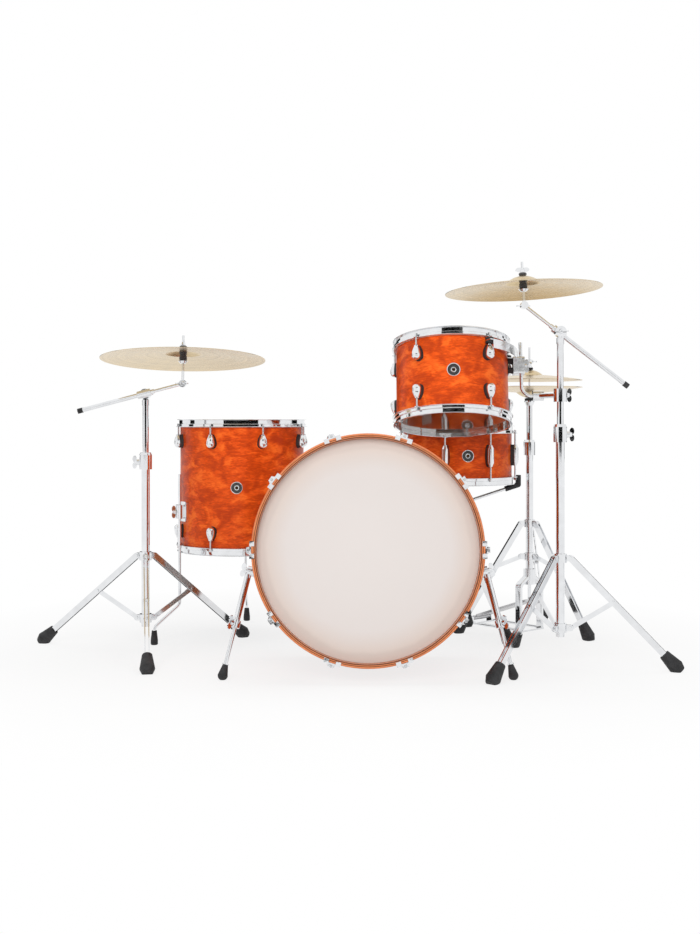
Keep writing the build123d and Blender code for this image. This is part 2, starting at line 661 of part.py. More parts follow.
def spur_leg(side):
    """Outer tube with clamp and wing screw, inner rod and rubber foot of one spur."""
    pivot, foot, outward = spur_points(side)
    down = (foot - pivot).normalized()
    length = (foot - pivot).length
    half = SPUR_HEAD_WIDTH / 2
    knuckle = bar(pivot - outward * half, pivot + outward * half, SPUR_HEAD_RADIUS)
    end = pivot + down * SPUR_TUBE_LENGTH
    tube = bar(pivot, end, SPUR_TUBE_RADIUS)
    tube -= bar(pivot - outward * LUG_RADIUS, pivot - outward * half, SPUR_HEAD_RADIUS + SEAT_GAP)
    tube -= bar(pivot + outward * half, pivot + outward * LUG_RADIUS, SPUR_HEAD_RADIUS + SEAT_GAP)
    collar_radius, collar_length = SPUR_COLLAR
    collar = bar(end - down * collar_length, end, collar_radius)
    bore = bar(pivot + down * SPUR_BORE_START, end + down, SPUR_ROD_RADIUS + SLIDE_GAP)
    bolt_hole = bar(pivot - outward * LUG_RADIUS, pivot + outward * LUG_RADIUS, SPUR_BOLT_RADIUS + PIN_GAP)
    facing = Vector(side, -1, 0)
    facing = (facing - down * facing.dot(down)).normalized()
    screw_start = end - down * collar_length / 2 + facing * (SPUR_ROD_RADIUS + SLIDE_GAP + SEAT_GAP)
    screw_at = Plane(origin=screw_start, x_dir=down, z_dir=facing).location
    reach = collar_radius - SPUR_ROD_RADIUS
    outer = knuckle + tube + collar - bore - bolt_hole - screw_at * screw_hole(reach)
    rod_end = pivot + down * (length - SPUR_FOOT_LENGTH / 2)
    rod = bar(pivot + down * SPUR_ROD_START, rod_end, SPUR_ROD_RADIUS)
    ring_radius, ring_height = SPUR_RING
    ring_end = pivot + down * (length - SPUR_FOOT_LENGTH - PIN_GAP)
    rod += bar(ring_end - down * ring_height, ring_end, ring_radius)
    slant = SPUR_FOOT_RADIUS * cos(radians(45))
    low = SPUR_FOOT_BALL - SPUR_FOOT_RADIUS
    rubber = turned(make_face([
        ThreePointArc((0, low), (slant, SPUR_FOOT_BALL - slant), (SPUR_FOOT_RADIUS, SPUR_FOOT_BALL)),
        Polyline(
            (SPUR_FOOT_RADIUS, SPUR_FOOT_BALL), (SPUR_FOOT_TOP, SPUR_FOOT_LENGTH), (0, SPUR_FOOT_LENGTH),
            (0, low))]))
    rubber = Plane(origin=foot, z_dir=down * -1).location * rubber
    socket = bar(rod_end + down * PIN_GAP, pivot, SPUR_ROD_RADIUS + PIN_GAP)
    return [outer, screw_at * wing_screw(reach)], [rod], [above_floor(rubber - socket)]


def above_floor(shape):
    """Cut a foot flat where it stands."""
    box = shape.bounding_box()
    size = 2 * (box.size.X + box.size.Y)
    centre = box.center()
    below = Box(size, size, size, align=(Align.CENTER, Align.CENTER, Align.MAX))
    return shape - Pos(centre.X, centre.Y, 0) * below


# Floor tom legs

def leg_bracket(angle):
    """Cast bracket on the floor tom's shell, drilled for the leg, and its wing screw."""
    width, height, depth = LEG_BRACKET
    axis_at = FLOOR_TOM_RADIUS + LEG_OFFSET
    level = LEG_BRACKET_Z - FLOOR_TOM_PLACE[2]
    plate = Pos(FLOOR_TOM_RADIUS - depth, 0, level) * rounded_block(
        width, height, 2 * depth, LEG_BRACKET_CORNER)
    web_width, web_height, web_corner = LEG_WEB
    web = Pos(FLOOR_TOM_RADIUS, 0, level) * rounded_block(web_width, web_height, LEG_OFFSET, web_corner)
    clamp = Pos(axis_at, 0, level) * Cylinder(LEG_CLAMP_RADIUS, LEG_CLAMP_HEIGHT)
    bore = Pos(axis_at, 0, level) * Cylinder(LEG_RADIUS + SLIDE_GAP, 2 * height)
    screw_at = Pos(axis_at + LEG_RADIUS + 2 * SLIDE_GAP, 0, level) * Rot(0, 90, 0)
    reach = LEG_CLAMP_RADIUS - LEG_RADIUS
    bracket = plate + web + clamp - bore - Cylinder(FLOOR_TOM_RADIUS + SEAT_GAP, FLOOR_TOM_DEPTH)
    bracket -= screw_at * screw_hole(reach)
    return [from_front(angle) * bracket, from_front(angle) * screw_at * wing_screw(reach)]


def leg_and_foot(angle):
    """Double-bent leg rod and its rubber foot."""
    inner = FLOOR_TOM_RADIUS + LEG_OFFSET
    outer = inner + LEG_SPLAY
    drop = FLOOR_TOM_PLACE[2]
    rod_end = LEG_FOOT_HEIGHT - LEG_FOOT_SOCKET
    path = FilletPolyline(
        (inner, 0, LEG_TOP - drop), (inner, 0, LEG_BEND_TOP - drop), (outer, 0, LEG_BEND_LOW - drop),
        (outer, 0, rod_end - drop), radius=LEG_BEND_RADIUS)
    leg = sweep(Plane(origin=path @ 0, z_dir=path % 0) * Circle(LEG_RADIUS), path=path)
    bore = LEG_RADIUS + PIN_GAP
    rubber = turned(outline(
        (0, 0), (LEG_FOOT_RADIUS - LEG_FOOT_BEVEL, 0), (LEG_FOOT_RADIUS, LEG_FOOT_BEVEL),
        (LEG_FOOT_RADIUS, LEG_FOOT_HEIGHT / 3), (LEG_FOOT_TOP, LEG_FOOT_HEIGHT), (bore, LEG_FOOT_HEIGHT),
        (bore, rod_end - PIN_GAP), (0, rod_end - PIN_GAP)))
    return [from_front(angle) * leg], [from_front(angle) * Pos(outer, 0, -drop) * rubber]


# Stands

def flat_bar(start, end, width, thick, side, holes):
    """Round-ended flat bar between two (radius, height) points, offset sideways, with pin holes along it."""
    run_x = end[0] - start[0]
    run_z = end[1] - start[1]
    length = sqrt(run_x ** 2 + run_z ** 2)
    face = Pos(length / 2, 0) * SlotCenterToCenter(length, width)
    for hole in holes:
        face -= Pos(hole, 0) * Circle(PIN_RADIUS + PIN_GAP)
    plane = Plane(origin=(start[0], side, start[1]), x_dir=(run_x, 0, run_z), z_dir=(0, -1, 0))
    return extrude(plane * face, amount=thick / 2, both=True)


def rivet(point, grip):
    """Pin across a radial plane with a head at each end."""
    shaft = Cylinder(PIN_RADIUS, grip)
    head = Pos(0, 0, grip / 2) * Cylinder(PIN_HEAD_RADIUS, PIN_HEAD_HEIGHT, align=BASE)
    pin = shaft + head + mirror(head, about=Plane.XY)
    return Pos(point[0], 0, point[1]) * Rot(90, 0, 0) * pin


def collar(tube_radius, level, angles, ears):
    """Ring round a tube with ears for pins; each ear is a (sideways place, thickness) pair."""
    half = COLLAR_HEIGHT / 2
    inner = tube_radius + SEAT_GAP
    ring = turned(outline(
        (inner, level - half), (inner + COLLAR_WALL, level - half), (inner + COLLAR_WALL, level + half),
        (inner, level + half)))
    start = (tube_radius + COLLAR_WALL / 2 + EAR_DEPTH / 4, level)
    end = (tube_radius + EAR_REACH, level)
    reach = end[0] - start[0]
    lugs = [flat_bar(start, end, EAR_DEPTH, thick, side, [reach]) for side, thick in ears]
    body = ring + [from_front(a) * ear for a in angles for ear in lugs]
    return body - Pos(0, 0, level) * Cylinder(inner, 2 * COLLAR_HEIGHT)


def boot(foot, slope_from):
    """Rubber boot on the end of a tripod leg, cut flat on the floor and hollow for the strips."""
    up = Vector(slope_from[0] - foot[0], 0, slope_from[1] - foot[1]).normalized()
    rubber = turned(outline(
        (0, -BOOT_BELOW), (BOOT_TOP_RADIUS, -BOOT_BELOW), (BOOT_RADIUS, BOOT_CORNER - BOOT_BELOW / 2),
        (BOOT_TOP_RADIUS, BOOT_ABOVE), (0, BOOT_ABOVE)))
    rubber = fillet(rubber.edges().group_by(Axis.Z)[0], BOOT_CORNER)
    width = EAR_THICK + 2 * (STRIP_THICK + STRIP_GAP + SEAT_GAP)
    socket = Pos(0, 0, -STRIP_END - SEAT_GAP) * Box(
        STRIP_WIDTH + 2 * SEAT_GAP, width, BOOT_ABOVE + 2 * STRIP_END, align=BASE)
    frame = Plane(origin=(foot[0], 0, foot[1]), x_dir=(up.Z, 0, -up.X), z_dir=up).location
    return above_floor(frame * (rubber - socket))


def tripod(stand):
    """Tripod of double strips with braces: metal pieces and boots, in the stand's frame."""
    _, _, foot_radius, hub_z, brace_z, first = stand
    angles = [first, first + 120, first + 240]
    top = (STAND_TUBE + EAR_REACH, hub_z)
    foot = (foot_radius, BOOT_AXIS_Z)
    length = sqrt((foot[0] - top[0]) ** 2 + (top[1] - foot[1]) ** 2)
    share = BRACE_AT
    knee = (top[0] + share * (foot[0] - top[0]), top[1] + share * (foot[1] - top[1]))
    low = (STAND_TUBE + EAR_REACH, brace_z)
    brace_length = sqrt((knee[0] - low[0]) ** 2 + (knee[1] - low[1]) ** 2)
    side = EAR_THICK / 2 + STRIP_GAP + STRIP_THICK / 2
    strips = [flat_bar(top, foot, STRIP_WIDTH, STRIP_THICK, s, [0, share * length]) for s in (side, -side)]
    trim = Vector(foot[0] - top[0], 0, foot[1] - top[1]).normalized()
    cut_at = Vector(foot[0], 0, foot[1]) + trim * STRIP_END
    cut = Plane(origin=cut_at, z_dir=trim).location * Box(
        4 * STRIP_WIDTH, 4 * STRIP_WIDTH, 4 * STRIP_WIDTH, align=BASE)
    strips = [strip - cut for strip in strips]
    brace = flat_bar(low, knee, BRACE_WIDTH, BRACE_THICK, 0, [0, brace_length])
    fork = BRACE_THICK / 2 + STRIP_GAP + FORK_THICK / 2
    leg_grip = EAR_THICK + 2 * (STRIP_THICK + 2 * STRIP_GAP)
    fork_grip = BRACE_THICK + 2 * (FORK_THICK + 2 * STRIP_GAP)
    pins = [rivet(top, leg_grip), rivet(knee, leg_grip), rivet(low, fork_grip)]
    sleeve = EAR_THICK / 2 - BRACE_THICK / 2
    metal = [
        collar(STAND_TUBE, hub_z, angles, [(0, EAR_THICK)]),
        collar(STAND_TUBE, brace_z, angles, [(fork, FORK_THICK), (-fork, FORK_THICK)])]
    washers = [Pos(knee[0], s * (BRACE_THICK + sleeve) / 2, knee[1]) * Rot(90, 0, 0) *
               (Cylinder(PIN_HEAD_RADIUS, sleeve) - Cylinder(PIN_RADIUS + PIN_GAP, sleeve)) for s in (1, -1)]
    for angle in angles:
        metal += [from_front(angle) * each for each in strips + [brace] + pins + washers]
    boots = [from_front(angle) * boot(foot, top) for angle in angles]
    return metal, boots


def lower_tube(low_end, clamp_z):
    """Hollow lower tube from its low end to the height clamp."""
    return bar((0, 0, low_end), (0, 0, clamp_z), STAND_TUBE, STAND_TUBE - STAND_WALL)


def height_clamp(clamp_z, inner_radius):
    """Clamp on top of the lower tube that holds the sliding tube, with its wing screw."""
    grip = STAND_TUBE + SEAT_GAP
    outer = STAND_TUBE + CLAMP_WALL
    guide = inner_radius + SLIDE_GAP
    top = clamp_z + SEAT_GAP
    body = turned(outline(
        (grip, clamp_z - CLAMP_HEIGHT), (outer, clamp_z - CLAMP_HEIGHT), (outer, clamp_z),
        (outer - CLAMP_WALL / 2, clamp_z + CLAMP_LIP), (guide, clamp_z + CLAMP_LIP), (guide, top),
        (grip, top)))
    level = clamp_z - CLAMP_HEIGHT / 2
    pad = bar((grip + OVERRUN, 0, level), (outer + CLAMP_WALL, 0, level), STAND_TUBE - CLAMP_WALL / 2)
    screw_at = Pos(grip + SEAT_GAP, 0, level) * Rot(0, 90, 0)
    reach = outer + CLAMP_WALL - grip
    body = body + pad - Pos(0, 0, level) * Cylinder(grip, CLAMP_HEIGHT / 2) - screw_at * screw_hole(reach)
    return [body, screw_at * wing_screw(reach)]


def stand_base(frame, stand, low_end, clamp_z, turn):
    """Whole standing part of a stand: metal pieces and boots in the kit's frame."""
    metal, boots = tripod(stand)
    clamp = [Rot(0, 0, turn) * each for each in height_clamp(clamp_z, UPPER_TUBE)]
    metal += [lower_tube(low_end, clamp_z)] + clamp
    return [frame * each for each in metal], [frame * each for each in boots]


def boom_top(boom_frame, clamp_z, pivot_z):
    """Sliding tube with the fixed half of the boom ratchet, and its wing bolt."""
    low = -RATCHET_DROP
    tube = bar((0, 0, clamp_z - UPPER_OVERLAP - pivot_z), (0, 0, low), UPPER_TUBE, UPPER_TUBE - UPPER_WALL)
    cap = bar((0, 0, 2 * low), (0, 0, low), UPPER_TUBE + UPPER_WALL)
    cheek = Pos(0, RATCHET_GAP, low - OVERRUN) * Box(
        RATCHET_RADIUS, RATCHET_CHEEK, OVERRUN - low, align=(Align.CENTER, Align.MIN, Align.MIN))
    disc = bar((0, RATCHET_GAP, 0), (0, RATCHET_WIDTH, 0), RATCHET_RADIUS)
    bolt_at = Pos(0, OVERRUN - RATCHET_WIDTH, 0) * Rot(-90, 0, 0)
    reach = 2 * RATCHET_WIDTH - OVERRUN + SEAT_GAP
    fixed = tube + cap + cheek + disc - bolt_at * screw_hole(reach, PIVOT_BOLT)
    return [boom_frame * fixed, boom_frame * bolt_at * wing_screw(reach, PIVOT_BOLT)]


def boom_arm(boom_frame, boom, seat):
    """Turning half of the ratchet, boom tube, tilter with post, cup and wing nut of a cymbal boom."""
    angle, front, rear = boom
    ray = Vector(cos(radians(angle)), 0, sin(radians(angle)))
    axis_at = Vector(0, -BOOM_OFFSET, 0)
    disc = bar((0, -RATCHET_WIDTH, 0), (0, -RATCHET_GAP, 0), RATCHET_RADIUS)
    sleeve = bar(axis_at - ray * SLEEVE_LENGTH / 2, axis_at + ray * SLEEVE_LENGTH / 2, SLEEVE_RADIUS)
    bore = bar(axis_at - ray * SLEEVE_LENGTH, axis_at + ray * SLEEVE_LENGTH, BOOM_RADIUS + PIN_GAP)
    bolt_hole = bar((0, OVERRUN - RATCHET_WIDTH - SEAT_GAP, 0), (0, OVERRUN, 0), PIVOT_BOLT + PIN_GAP)
    holder = disc + sleeve - bore - bolt_hole
    tip = front - TILTER_RADIUS / 2
    arm = bar(axis_at - ray * rear, axis_at + ray * BOOM_STEP, BOOM_RADIUS)
    arm += bar(axis_at + ray * (BOOM_STEP - OVERRUN), axis_at + ray * tip, BOOM_TIP_RADIUS)
    cap_radius, cap_length = BOOM_CAP
    cap_end = axis_at - ray * (rear + PIN_GAP)
    cap = bar(cap_end - ray * cap_length, cap_end, cap_radius)
    centre = axis_at + ray * front
    half = Vector(0, TILTER_WIDTH / 2, 0)
    drum = bar(centre - half, centre + half, TILTER_RADIUS)
    socket = bar(centre - ray * 2 * TILTER_RADIUS, axis_at + ray * (tip + PIN_GAP), BOOM_TIP_RADIUS + PIN_GAP)
    lever_reach = TILTER_RADIUS - POST_RADIUS - OVERRUN
    lever_at = Pos(*(centre - half)) * Rot(90, 0, 0) * Pos(0, 0, PIN_GAP - lever_reach)
    tilter, normal, hole = seat
    stem_top = hole + normal * POST_ABOVE
    tip_radius, tip_length = POST_TIP
    stem = bar(tilter, stem_top, POST_RADIUS) + bar(stem_top, stem_top + normal * tip_length, tip_radius)
    seat_frame = Plane(origin=hole, z_dir=normal).location
    cup_top = -FELT_BELOW - SEAT_GAP
    cup = turned(outline(
        (POST_RADIUS / 2, cup_top - CUP_HEIGHT), (FELT_RADIUS - CUP_FLARE, cup_top - CUP_HEIGHT),
        (FELT_RADIUS + CUP_FLARE, cup_top), (POST_RADIUS / 2, cup_top)))
    drum = boom_frame * drum + stem + seat_frame * cup
    drum -= [boom_frame * socket, boom_frame * lever_at * screw_hole(lever_reach)]
    lever = boom_frame * lever_at * wing_screw(lever_reach)
    nut = wing_screw(OVERRUN, WING_HUB_RADIUS) - Cylinder(POST_RADIUS + PIN_GAP, 4 * POST_ABOVE)
    nut = seat_frame * Pos(0, 0, FELT_TOP + 2 * SEAT_GAP) * nut
    return [boom_frame * holder, boom_frame * arm, boom_frame * cap, drum, lever, nut]


def cymbal_felts(seat):
    """Felt sleeve under the cymbal and felt washer over it; both leave room for the cymbal to rock."""
    _, normal, hole = seat
    inner = POST_RADIUS + SEAT_GAP
    below = turned(outline(
        (inner, -FELT_BELOW), (FELT_RADIUS, -FELT_BELOW), (FELT_RADIUS, -FELT_CONE),
        (CYMBAL_HOLE, -FELT_DROP), (inner + SLEEVE_WALL, -FELT_DROP),
        (inner + SLEEVE_WALL, FELT_ABOVE - PIN_GAP), (inner, FELT_ABOVE - PIN_GAP)))
    above = turned(outline(
        (inner, FELT_ABOVE), (FELT_RADIUS, FELT_ABOVE), (FELT_RADIUS, FELT_TOP), (inner, FELT_TOP)))
    frame = Plane(origin=hole, z_dir=normal).location
    return [frame * below, frame * above]


def cymbal(sizes):
    """Cymbal with its hole's middle at the origin: a domed bell and a gently bowed skirt."""
    radius, bell_radius, bell_height, bow_height = sizes
    dome = (bell_radius ** 2 + bell_height ** 2) / (2 * bell_height)

    def bell(r):
        return sqrt(dome ** 2 - r ** 2) - dome + CYMBAL_THICK / 2

    skirt = CYMBAL_THICK / 2 - bell_height
    mid = (bell_radius + radius) / 2
    sag = bow_height * BOW_MIDDLE
    rim = skirt - bow_height

    def section(drop):
        start = (CYMBAL_HOLE, bell(CYMBAL_HOLE) - drop)
        edge = (bell_radius, skirt - drop)
        middle = (bell_radius * BELL_MIDDLE, bell(bell_radius * BELL_MIDDLE) - drop)
        bow = ThreePointArc(edge, (mid, skirt - sag - drop), (radius, rim - drop))
        return [ThreePointArc(start, middle, edge), bow]

    ends = [Line((CYMBAL_HOLE, bell(CYMBAL_HOLE)), (CYMBAL_HOLE, bell(CYMBAL_HOLE) - CYMBAL_THICK)),
            Line((radius, rim), (radius, rim - CYMBAL_THICK))]
    return turned(make_face(section(0) + section(CYMBAL_THICK) + ends))


def placed_cymbal(sizes, seat):
    """Cymbal on its post."""
    _, normal, hole = seat
    return Plane(origin=hole, z_dir=normal).location * cymbal(sizes)


# Hi-hat

def hihat_heights():
    """Heights of the hole centres of the bottom and the top cymbal."""
    _, _, bell_height, bow_height = HIHAT_CYMBAL
    drop = bell_height + bow_height
    return HIHAT_RIM_Z - drop, HIHAT_RIM_Z + HIHAT_OPEN + drop


def hihat_base():
    """Pedal frame, upper tube and seat of the hi-hat stand, in the kit's frame."""
    low_hole, _ = hihat_heights()
    seat_top = low_hole - CYMBAL_THICK / 2 - SEAT_GAP
    guide = PULL_RADIUS + SLIDE_GAP
    inside = UPPER_TUBE - UPPER_WALL - PIN_GAP
    cup_top = seat_top - SEAT_PAD
    rim_low = cup_top - SEAT_CUP_RIM
    tube_top = rim_low - SEAT_CUP_RISE
    tube = bar((0, 0, HIHAT_CLAMP_Z - UPPER_OVERLAP), (0, 0, tube_top), UPPER_TUBE, UPPER_TUBE - UPPER_WALL)
    cup = turned(outline(
        (guide, tube_top - SEAT_CUP_BELOW), (inside, tube_top - SEAT_CUP_BELOW), (inside, tube_top + PIN_GAP),
        (UPPER_TUBE + SEAT_CUP_FLARE, tube_top + PIN_GAP), (HIHAT_SEAT_RADIUS, rim_low),
        (HIHAT_SEAT_RADIUS, cup_top), (guide, cup_top)))
    pad_rim = HIHAT_SEAT_RADIUS - OVERRUN
    pad = turned(outline(
        (CYMBAL_HOLE, cup_top + PIN_GAP), (pad_rim, cup_top + PIN_GAP), (pad_rim, seat_top - SEAT_PAD_BEVEL),
        (CYMBAL_HOLE + SEAT_PAD_BEVEL, seat_top), (CYMBAL_HOLE, seat_top)))
    hub_top = YOKE_HUB_Z + YOKE_HUB_HEIGHT
    hub = bar((0, 0, YOKE_HUB_Z), (0, 0, hub_top), YOKE_HUB_RADIUS, STAND_TUBE + SEAT_GAP)
    leg = FilletPolyline(
        (STAND_TUBE, 0, YOKE_HUB_Z + YOKE_HUB_HEIGHT / 2), (YOKE_HALF, 0, YOKE_HUB_Z),
        (YOKE_HALF, 0, BASE_THICK + PIN_GAP), radius=YOKE_LEG * 1.5)
    limb_face = RectangleRounded(YOKE_LEG, 2 * YOKE_LEG, YOKE_CORNER)
    limb = sweep(Plane(origin=leg @ 0, z_dir=leg % 0) * limb_face, path=leg)
    limb -= Cylinder(YOKE_HUB_RADIUS + PIN_GAP, 4 * hub_top)
    heel_y = HEEL_PIN[1]
    span = 2 * YOKE_HALF + YOKE_LEG
    sill = Box(span, 2 * YOKE_LEG, BASE_THICK, align=BASE)
    heel = Pos(0, heel_y + HEEL_LENGTH / 4, 0) * Box(span, HEEL_LENGTH, BASE_THICK, align=BASE)
    foot, head, above = HEEL_EAR
    ear_low_z = BASE_THICK + PIN_GAP
    ear = outline(
        (heel_y - foot / 2, ear_low_z), (heel_y + foot / 2, ear_low_z),
        (heel_y + head / 2, HEEL_PIN_Z + above), (heel_y - head / 2, HEEL_PIN_Z + above))
    ear = Pos(BOARD_WIDTH / 2 + STRIP_GAP, 0, 0) * extrude(Plane.YZ * ear, amount=STRIP_THICK * 2)
    ear -= bar((0, heel_y, HEEL_PIN_Z), (YOKE_HALF, heel_y, HEEL_PIN_Z), HEEL_PIN_RADIUS + PIN_GAP)
    rail_z = BASE_THICK / 2 + FRAME_ROD / 2
    rail_from = YOKE_LEG + PIN_GAP
    rail_to = heel_y - HEEL_LENGTH / 4 - PIN_GAP
    rail = bar((YOKE_HALF, rail_from, rail_z), (YOKE_HALF, rail_to, rail_z), FRAME_ROD)
    reach = YOKE_HALF - PIN_HEAD_HEIGHT
    pin = bar((-reach, heel_y, HEEL_PIN_Z), (reach, heel_y, HEEL_PIN_Z), HEEL_PIN_RADIUS)
    pairs = [limb, ear, rail]
    pairs += [mirror(each, about=Plane.YZ) for each in pairs]
    return [PEDAL_FRAME * each for each in [tube, cup, pad, hub, sill, heel, pin] + pairs]


def hihat_board():
    """Pedal board, hinged at the heel, with its barrel."""
    face = RectangleRounded(BOARD_WIDTH, BOARD_LENGTH - BOARD_CORNER, BOARD_CORNER)
    plate = extrude(Pos(0, -BOARD_LENGTH / 2) * face, amount=BOARD_THICK)
    slot = Pos(0, -BOARD_REACH) * Rectangle(LINK_WIDTH + 4, BOARD_SLOT)
    plate -= extrude(slot, amount=BOARD_THICK)
    barrel = bar((-BOARD_WIDTH / 2, 0, 0), (BOARD_WIDTH / 2, 0, 0), HEEL_PIN_RADIUS * 2)
    tongue = Box(BOARD_WIDTH - 2 * BOARD_CORNER, 2 * BOARD_CORNER, BOARD_THICK, align=BASE)
    tongue = Pos(0, -BOARD_CORNER, 0) * tongue
    plate = plate + tongue + barrel
    plate -= bar((-BOARD_WIDTH, 0, 0), (BOARD_WIDTH, 0, 0), HEEL_PIN_RADIUS + PIN_GAP)
    return PEDAL_FRAME * Pos(*HEEL_PIN) * Rot(-BOARD_ANGLE, 0, 0) * plate


def hihat_pull():
    """Pull rod with its link to the board, clutch and felts round the top cymbal."""
    _, hole = hihat_heights()
    toe_z = HEEL_PIN_Z + BOARD_REACH * sin(radians(BOARD_ANGLE))
    rod = bar((0, 0, YOKE_HUB_Z - LINK_WIDTH), (0, 0, PULL_TOP), PULL_RADIUS)
    rod += Pos(0, 0, toe_z) * Box(LINK_WIDTH, LINK_THICK, YOKE_HUB_Z - toe_z, align=BASE)
    gap = CYMBAL_THICK / 2 + SEAT_GAP
    inner = PULL_RADIUS + PIN_GAP
    felt_top = hole + gap + CLUTCH_FELT
    flange_top = felt_top + CLUTCH_FLANGE
    top = hole + CLUTCH_HEIGHT
    rim = CLUTCH_RADIUS + CLUTCH_RIM
    upper = turned(outline(
        (inner, hole + gap), (FELT_RADIUS, hole + gap), (FELT_RADIUS, felt_top), (rim, felt_top),
        (rim, flange_top), (CLUTCH_RADIUS, flange_top), (CLUTCH_RADIUS, top), (inner, top)))
    nut_top = hole - gap - OVERRUN
    nut_low = nut_top - CLUTCH_NUT
    lower = turned(outline((inner, nut_low), (CLUTCH_RADIUS, nut_low), (rim, nut_top), (inner, nut_top)))
    screw_at = Pos(0, -inner - PIN_GAP, hole + CLUTCH_SCREW) * Rot(90, 0, 0)
    reach = CLUTCH_RADIUS - inner + PIN_GAP
    upper -= screw_at * screw_hole(reach)
    return [PEDAL_FRAME * each for each in (rod, upper, lower, screw_at * wing_screw(reach))]


# Rack tom mount

def tom_mount():
    """Suspension band with rubber bushes, rod bracket, wing screw and L-rod, in the tom's frame."""
    gap, thick = MOUNT_PLATE
    low, top = MOUNT_BAND
    inner = RACK_TOM_RADIUS + gap
    first, second = spread(RACK_TOM_LUGS)[:2]
    strip = outline((inner, low), (inner + thick, low), (inner + thick, top), (inner, top))
    band = from_front(first) * turned(strip, second - first)
    rod_at = RACK_TOM_RADIUS + ROD_OFFSET
    tab_reach = inner + thick - rod_at
    tab = Pos(rod_at, 0) * Circle(TAB_RADIUS)
    tab += Pos(rod_at + tab_reach / 2 - OVERRUN, 0) * Rectangle(tab_reach, 2 * TAB_RADIUS - OVERRUN)
    tab -= Pos(rod_at, 0) * Circle(BUSH_RADIUS + PIN_GAP)
    tab = Pos(0, 0, top - TAB_THICK) * extrude(tab, amount=TAB_THICK)
    groove_low = top - TAB_THICK - PIN_GAP
    groove_top = top + PIN_GAP
    bush = turned(outline(
        (ROD_RADIUS + SEAT_GAP, groove_low - BUSH_LIP), (BUSH_FLANGE, groove_low - BUSH_LIP),
        (BUSH_FLANGE, groove_low), (BUSH_RADIUS, groove_low), (BUSH_RADIUS, groove_top),
        (BUSH_FLANGE, groove_top), (BUSH_FLANGE, groove_top + BUSH_LIP),
        (ROD_RADIUS + SEAT_GAP, groove_top + BUSH_LIP)))
    depth, width, height = MOUNT_BLOCK
    block_at = RACK_TOM_RADIUS + MOUNT_BLOCK_GAP
    block = Pos(block_at, 0, MOUNT_BLOCK_Z) * rounded_block(width, height, depth, MOUNT_CORNER)
    axis_at = RACK_TOM_RADIUS + LROD_OFFSET
    bore = Pos(axis_at, 0, MOUNT_BLOCK_Z) * Cylinder(LROD_RADIUS + PIN_GAP, 2 * height)
    screw_at = Pos(axis_at + LROD_RADIUS + SEAT_GAP, 0, MOUNT_BLOCK_Z) * Rot(0, 90, 0)
    reach = block_at + depth - axis_at - LROD_RADIUS
    bracket = band + [from_front(a) * tab for a in (first, second)] + block
    bracket -= [bore, screw_at * screw_hole(reach)]
    path = FilletPolyline(
        (axis_at, 0, LROD_TOP), (axis_at, 0, LROD_LOW), (axis_at + LROD_REACH, 0, LROD_LOW), radius=LROD_BEND)
    lrod = sweep(Plane(origin=path @ 0, z_dir=path % 0) * Circle(LROD_RADIUS), path=path)
    rubber = [from_front(a) * Pos(rod_at, 0, 0) * bush for a in (first, second)]
    tip, root, apart = BUMPER
    bumper = Rot(0, 90, 0) * Cone(tip, root, MOUNT_BLOCK_GAP - PIN_GAP, align=BASE)
    bumper = Pos(RACK_TOM_RADIUS, 0, MOUNT_BLOCK_Z) * bumper
    pair = [Pos(0, 0, apart) * bumper, Pos(0, 0, -apart) * bumper]
    rubber += [each - Cylinder(RACK_TOM_RADIUS + SEAT_GAP, RACK_TOM_DEPTH) for each in pair]
    return [bracket, lrod, screw_at * wing_screw(reach)] + rubber


def tom_holder():
    """Clamp on the stand, arm and bored block that holds the end of the L-rod."""
    end = TOM_TILT_POINT
    block_to = end + Vector(HOLDER_END, 0, 0)
    block_from = block_to - Vector(HOLDER_BLOCK, 0, 0)
    middle = (block_from + block_to) * 0.5
    post = at(RIGHT_STAND_FRAME, (0, 0, end.Z))
    up = Vector(0, 0, STAND_CLAMP_HEIGHT / 2)
    clamp = bar(post - up, post + up, STAND_CLAMP_RADIUS)
    body = bar(block_from, block_to, HOLDER_RADIUS) + bar(middle, post, HOLDER_ARM_RADIUS) + clamp
    body -= bar(block_from - Vector(OVERRUN, 0, 0), end + Vector(PIN_GAP, 0, 0), LROD_RADIUS + SLIDE_GAP)
    body -= bar(post - up * 2, post + up * 2, UPPER_TUBE + PIN_GAP)
    screw_at = Pos(*post) * Pos(UPPER_TUBE + SEAT_GAP, 0, 0) * Rot(0, 90, 0)
    reach = STAND_CLAMP_RADIUS - UPPER_TUBE
    return [body - screw_at * screw_hole(reach), screw_at * wing_screw(reach)]


# Snare fittings

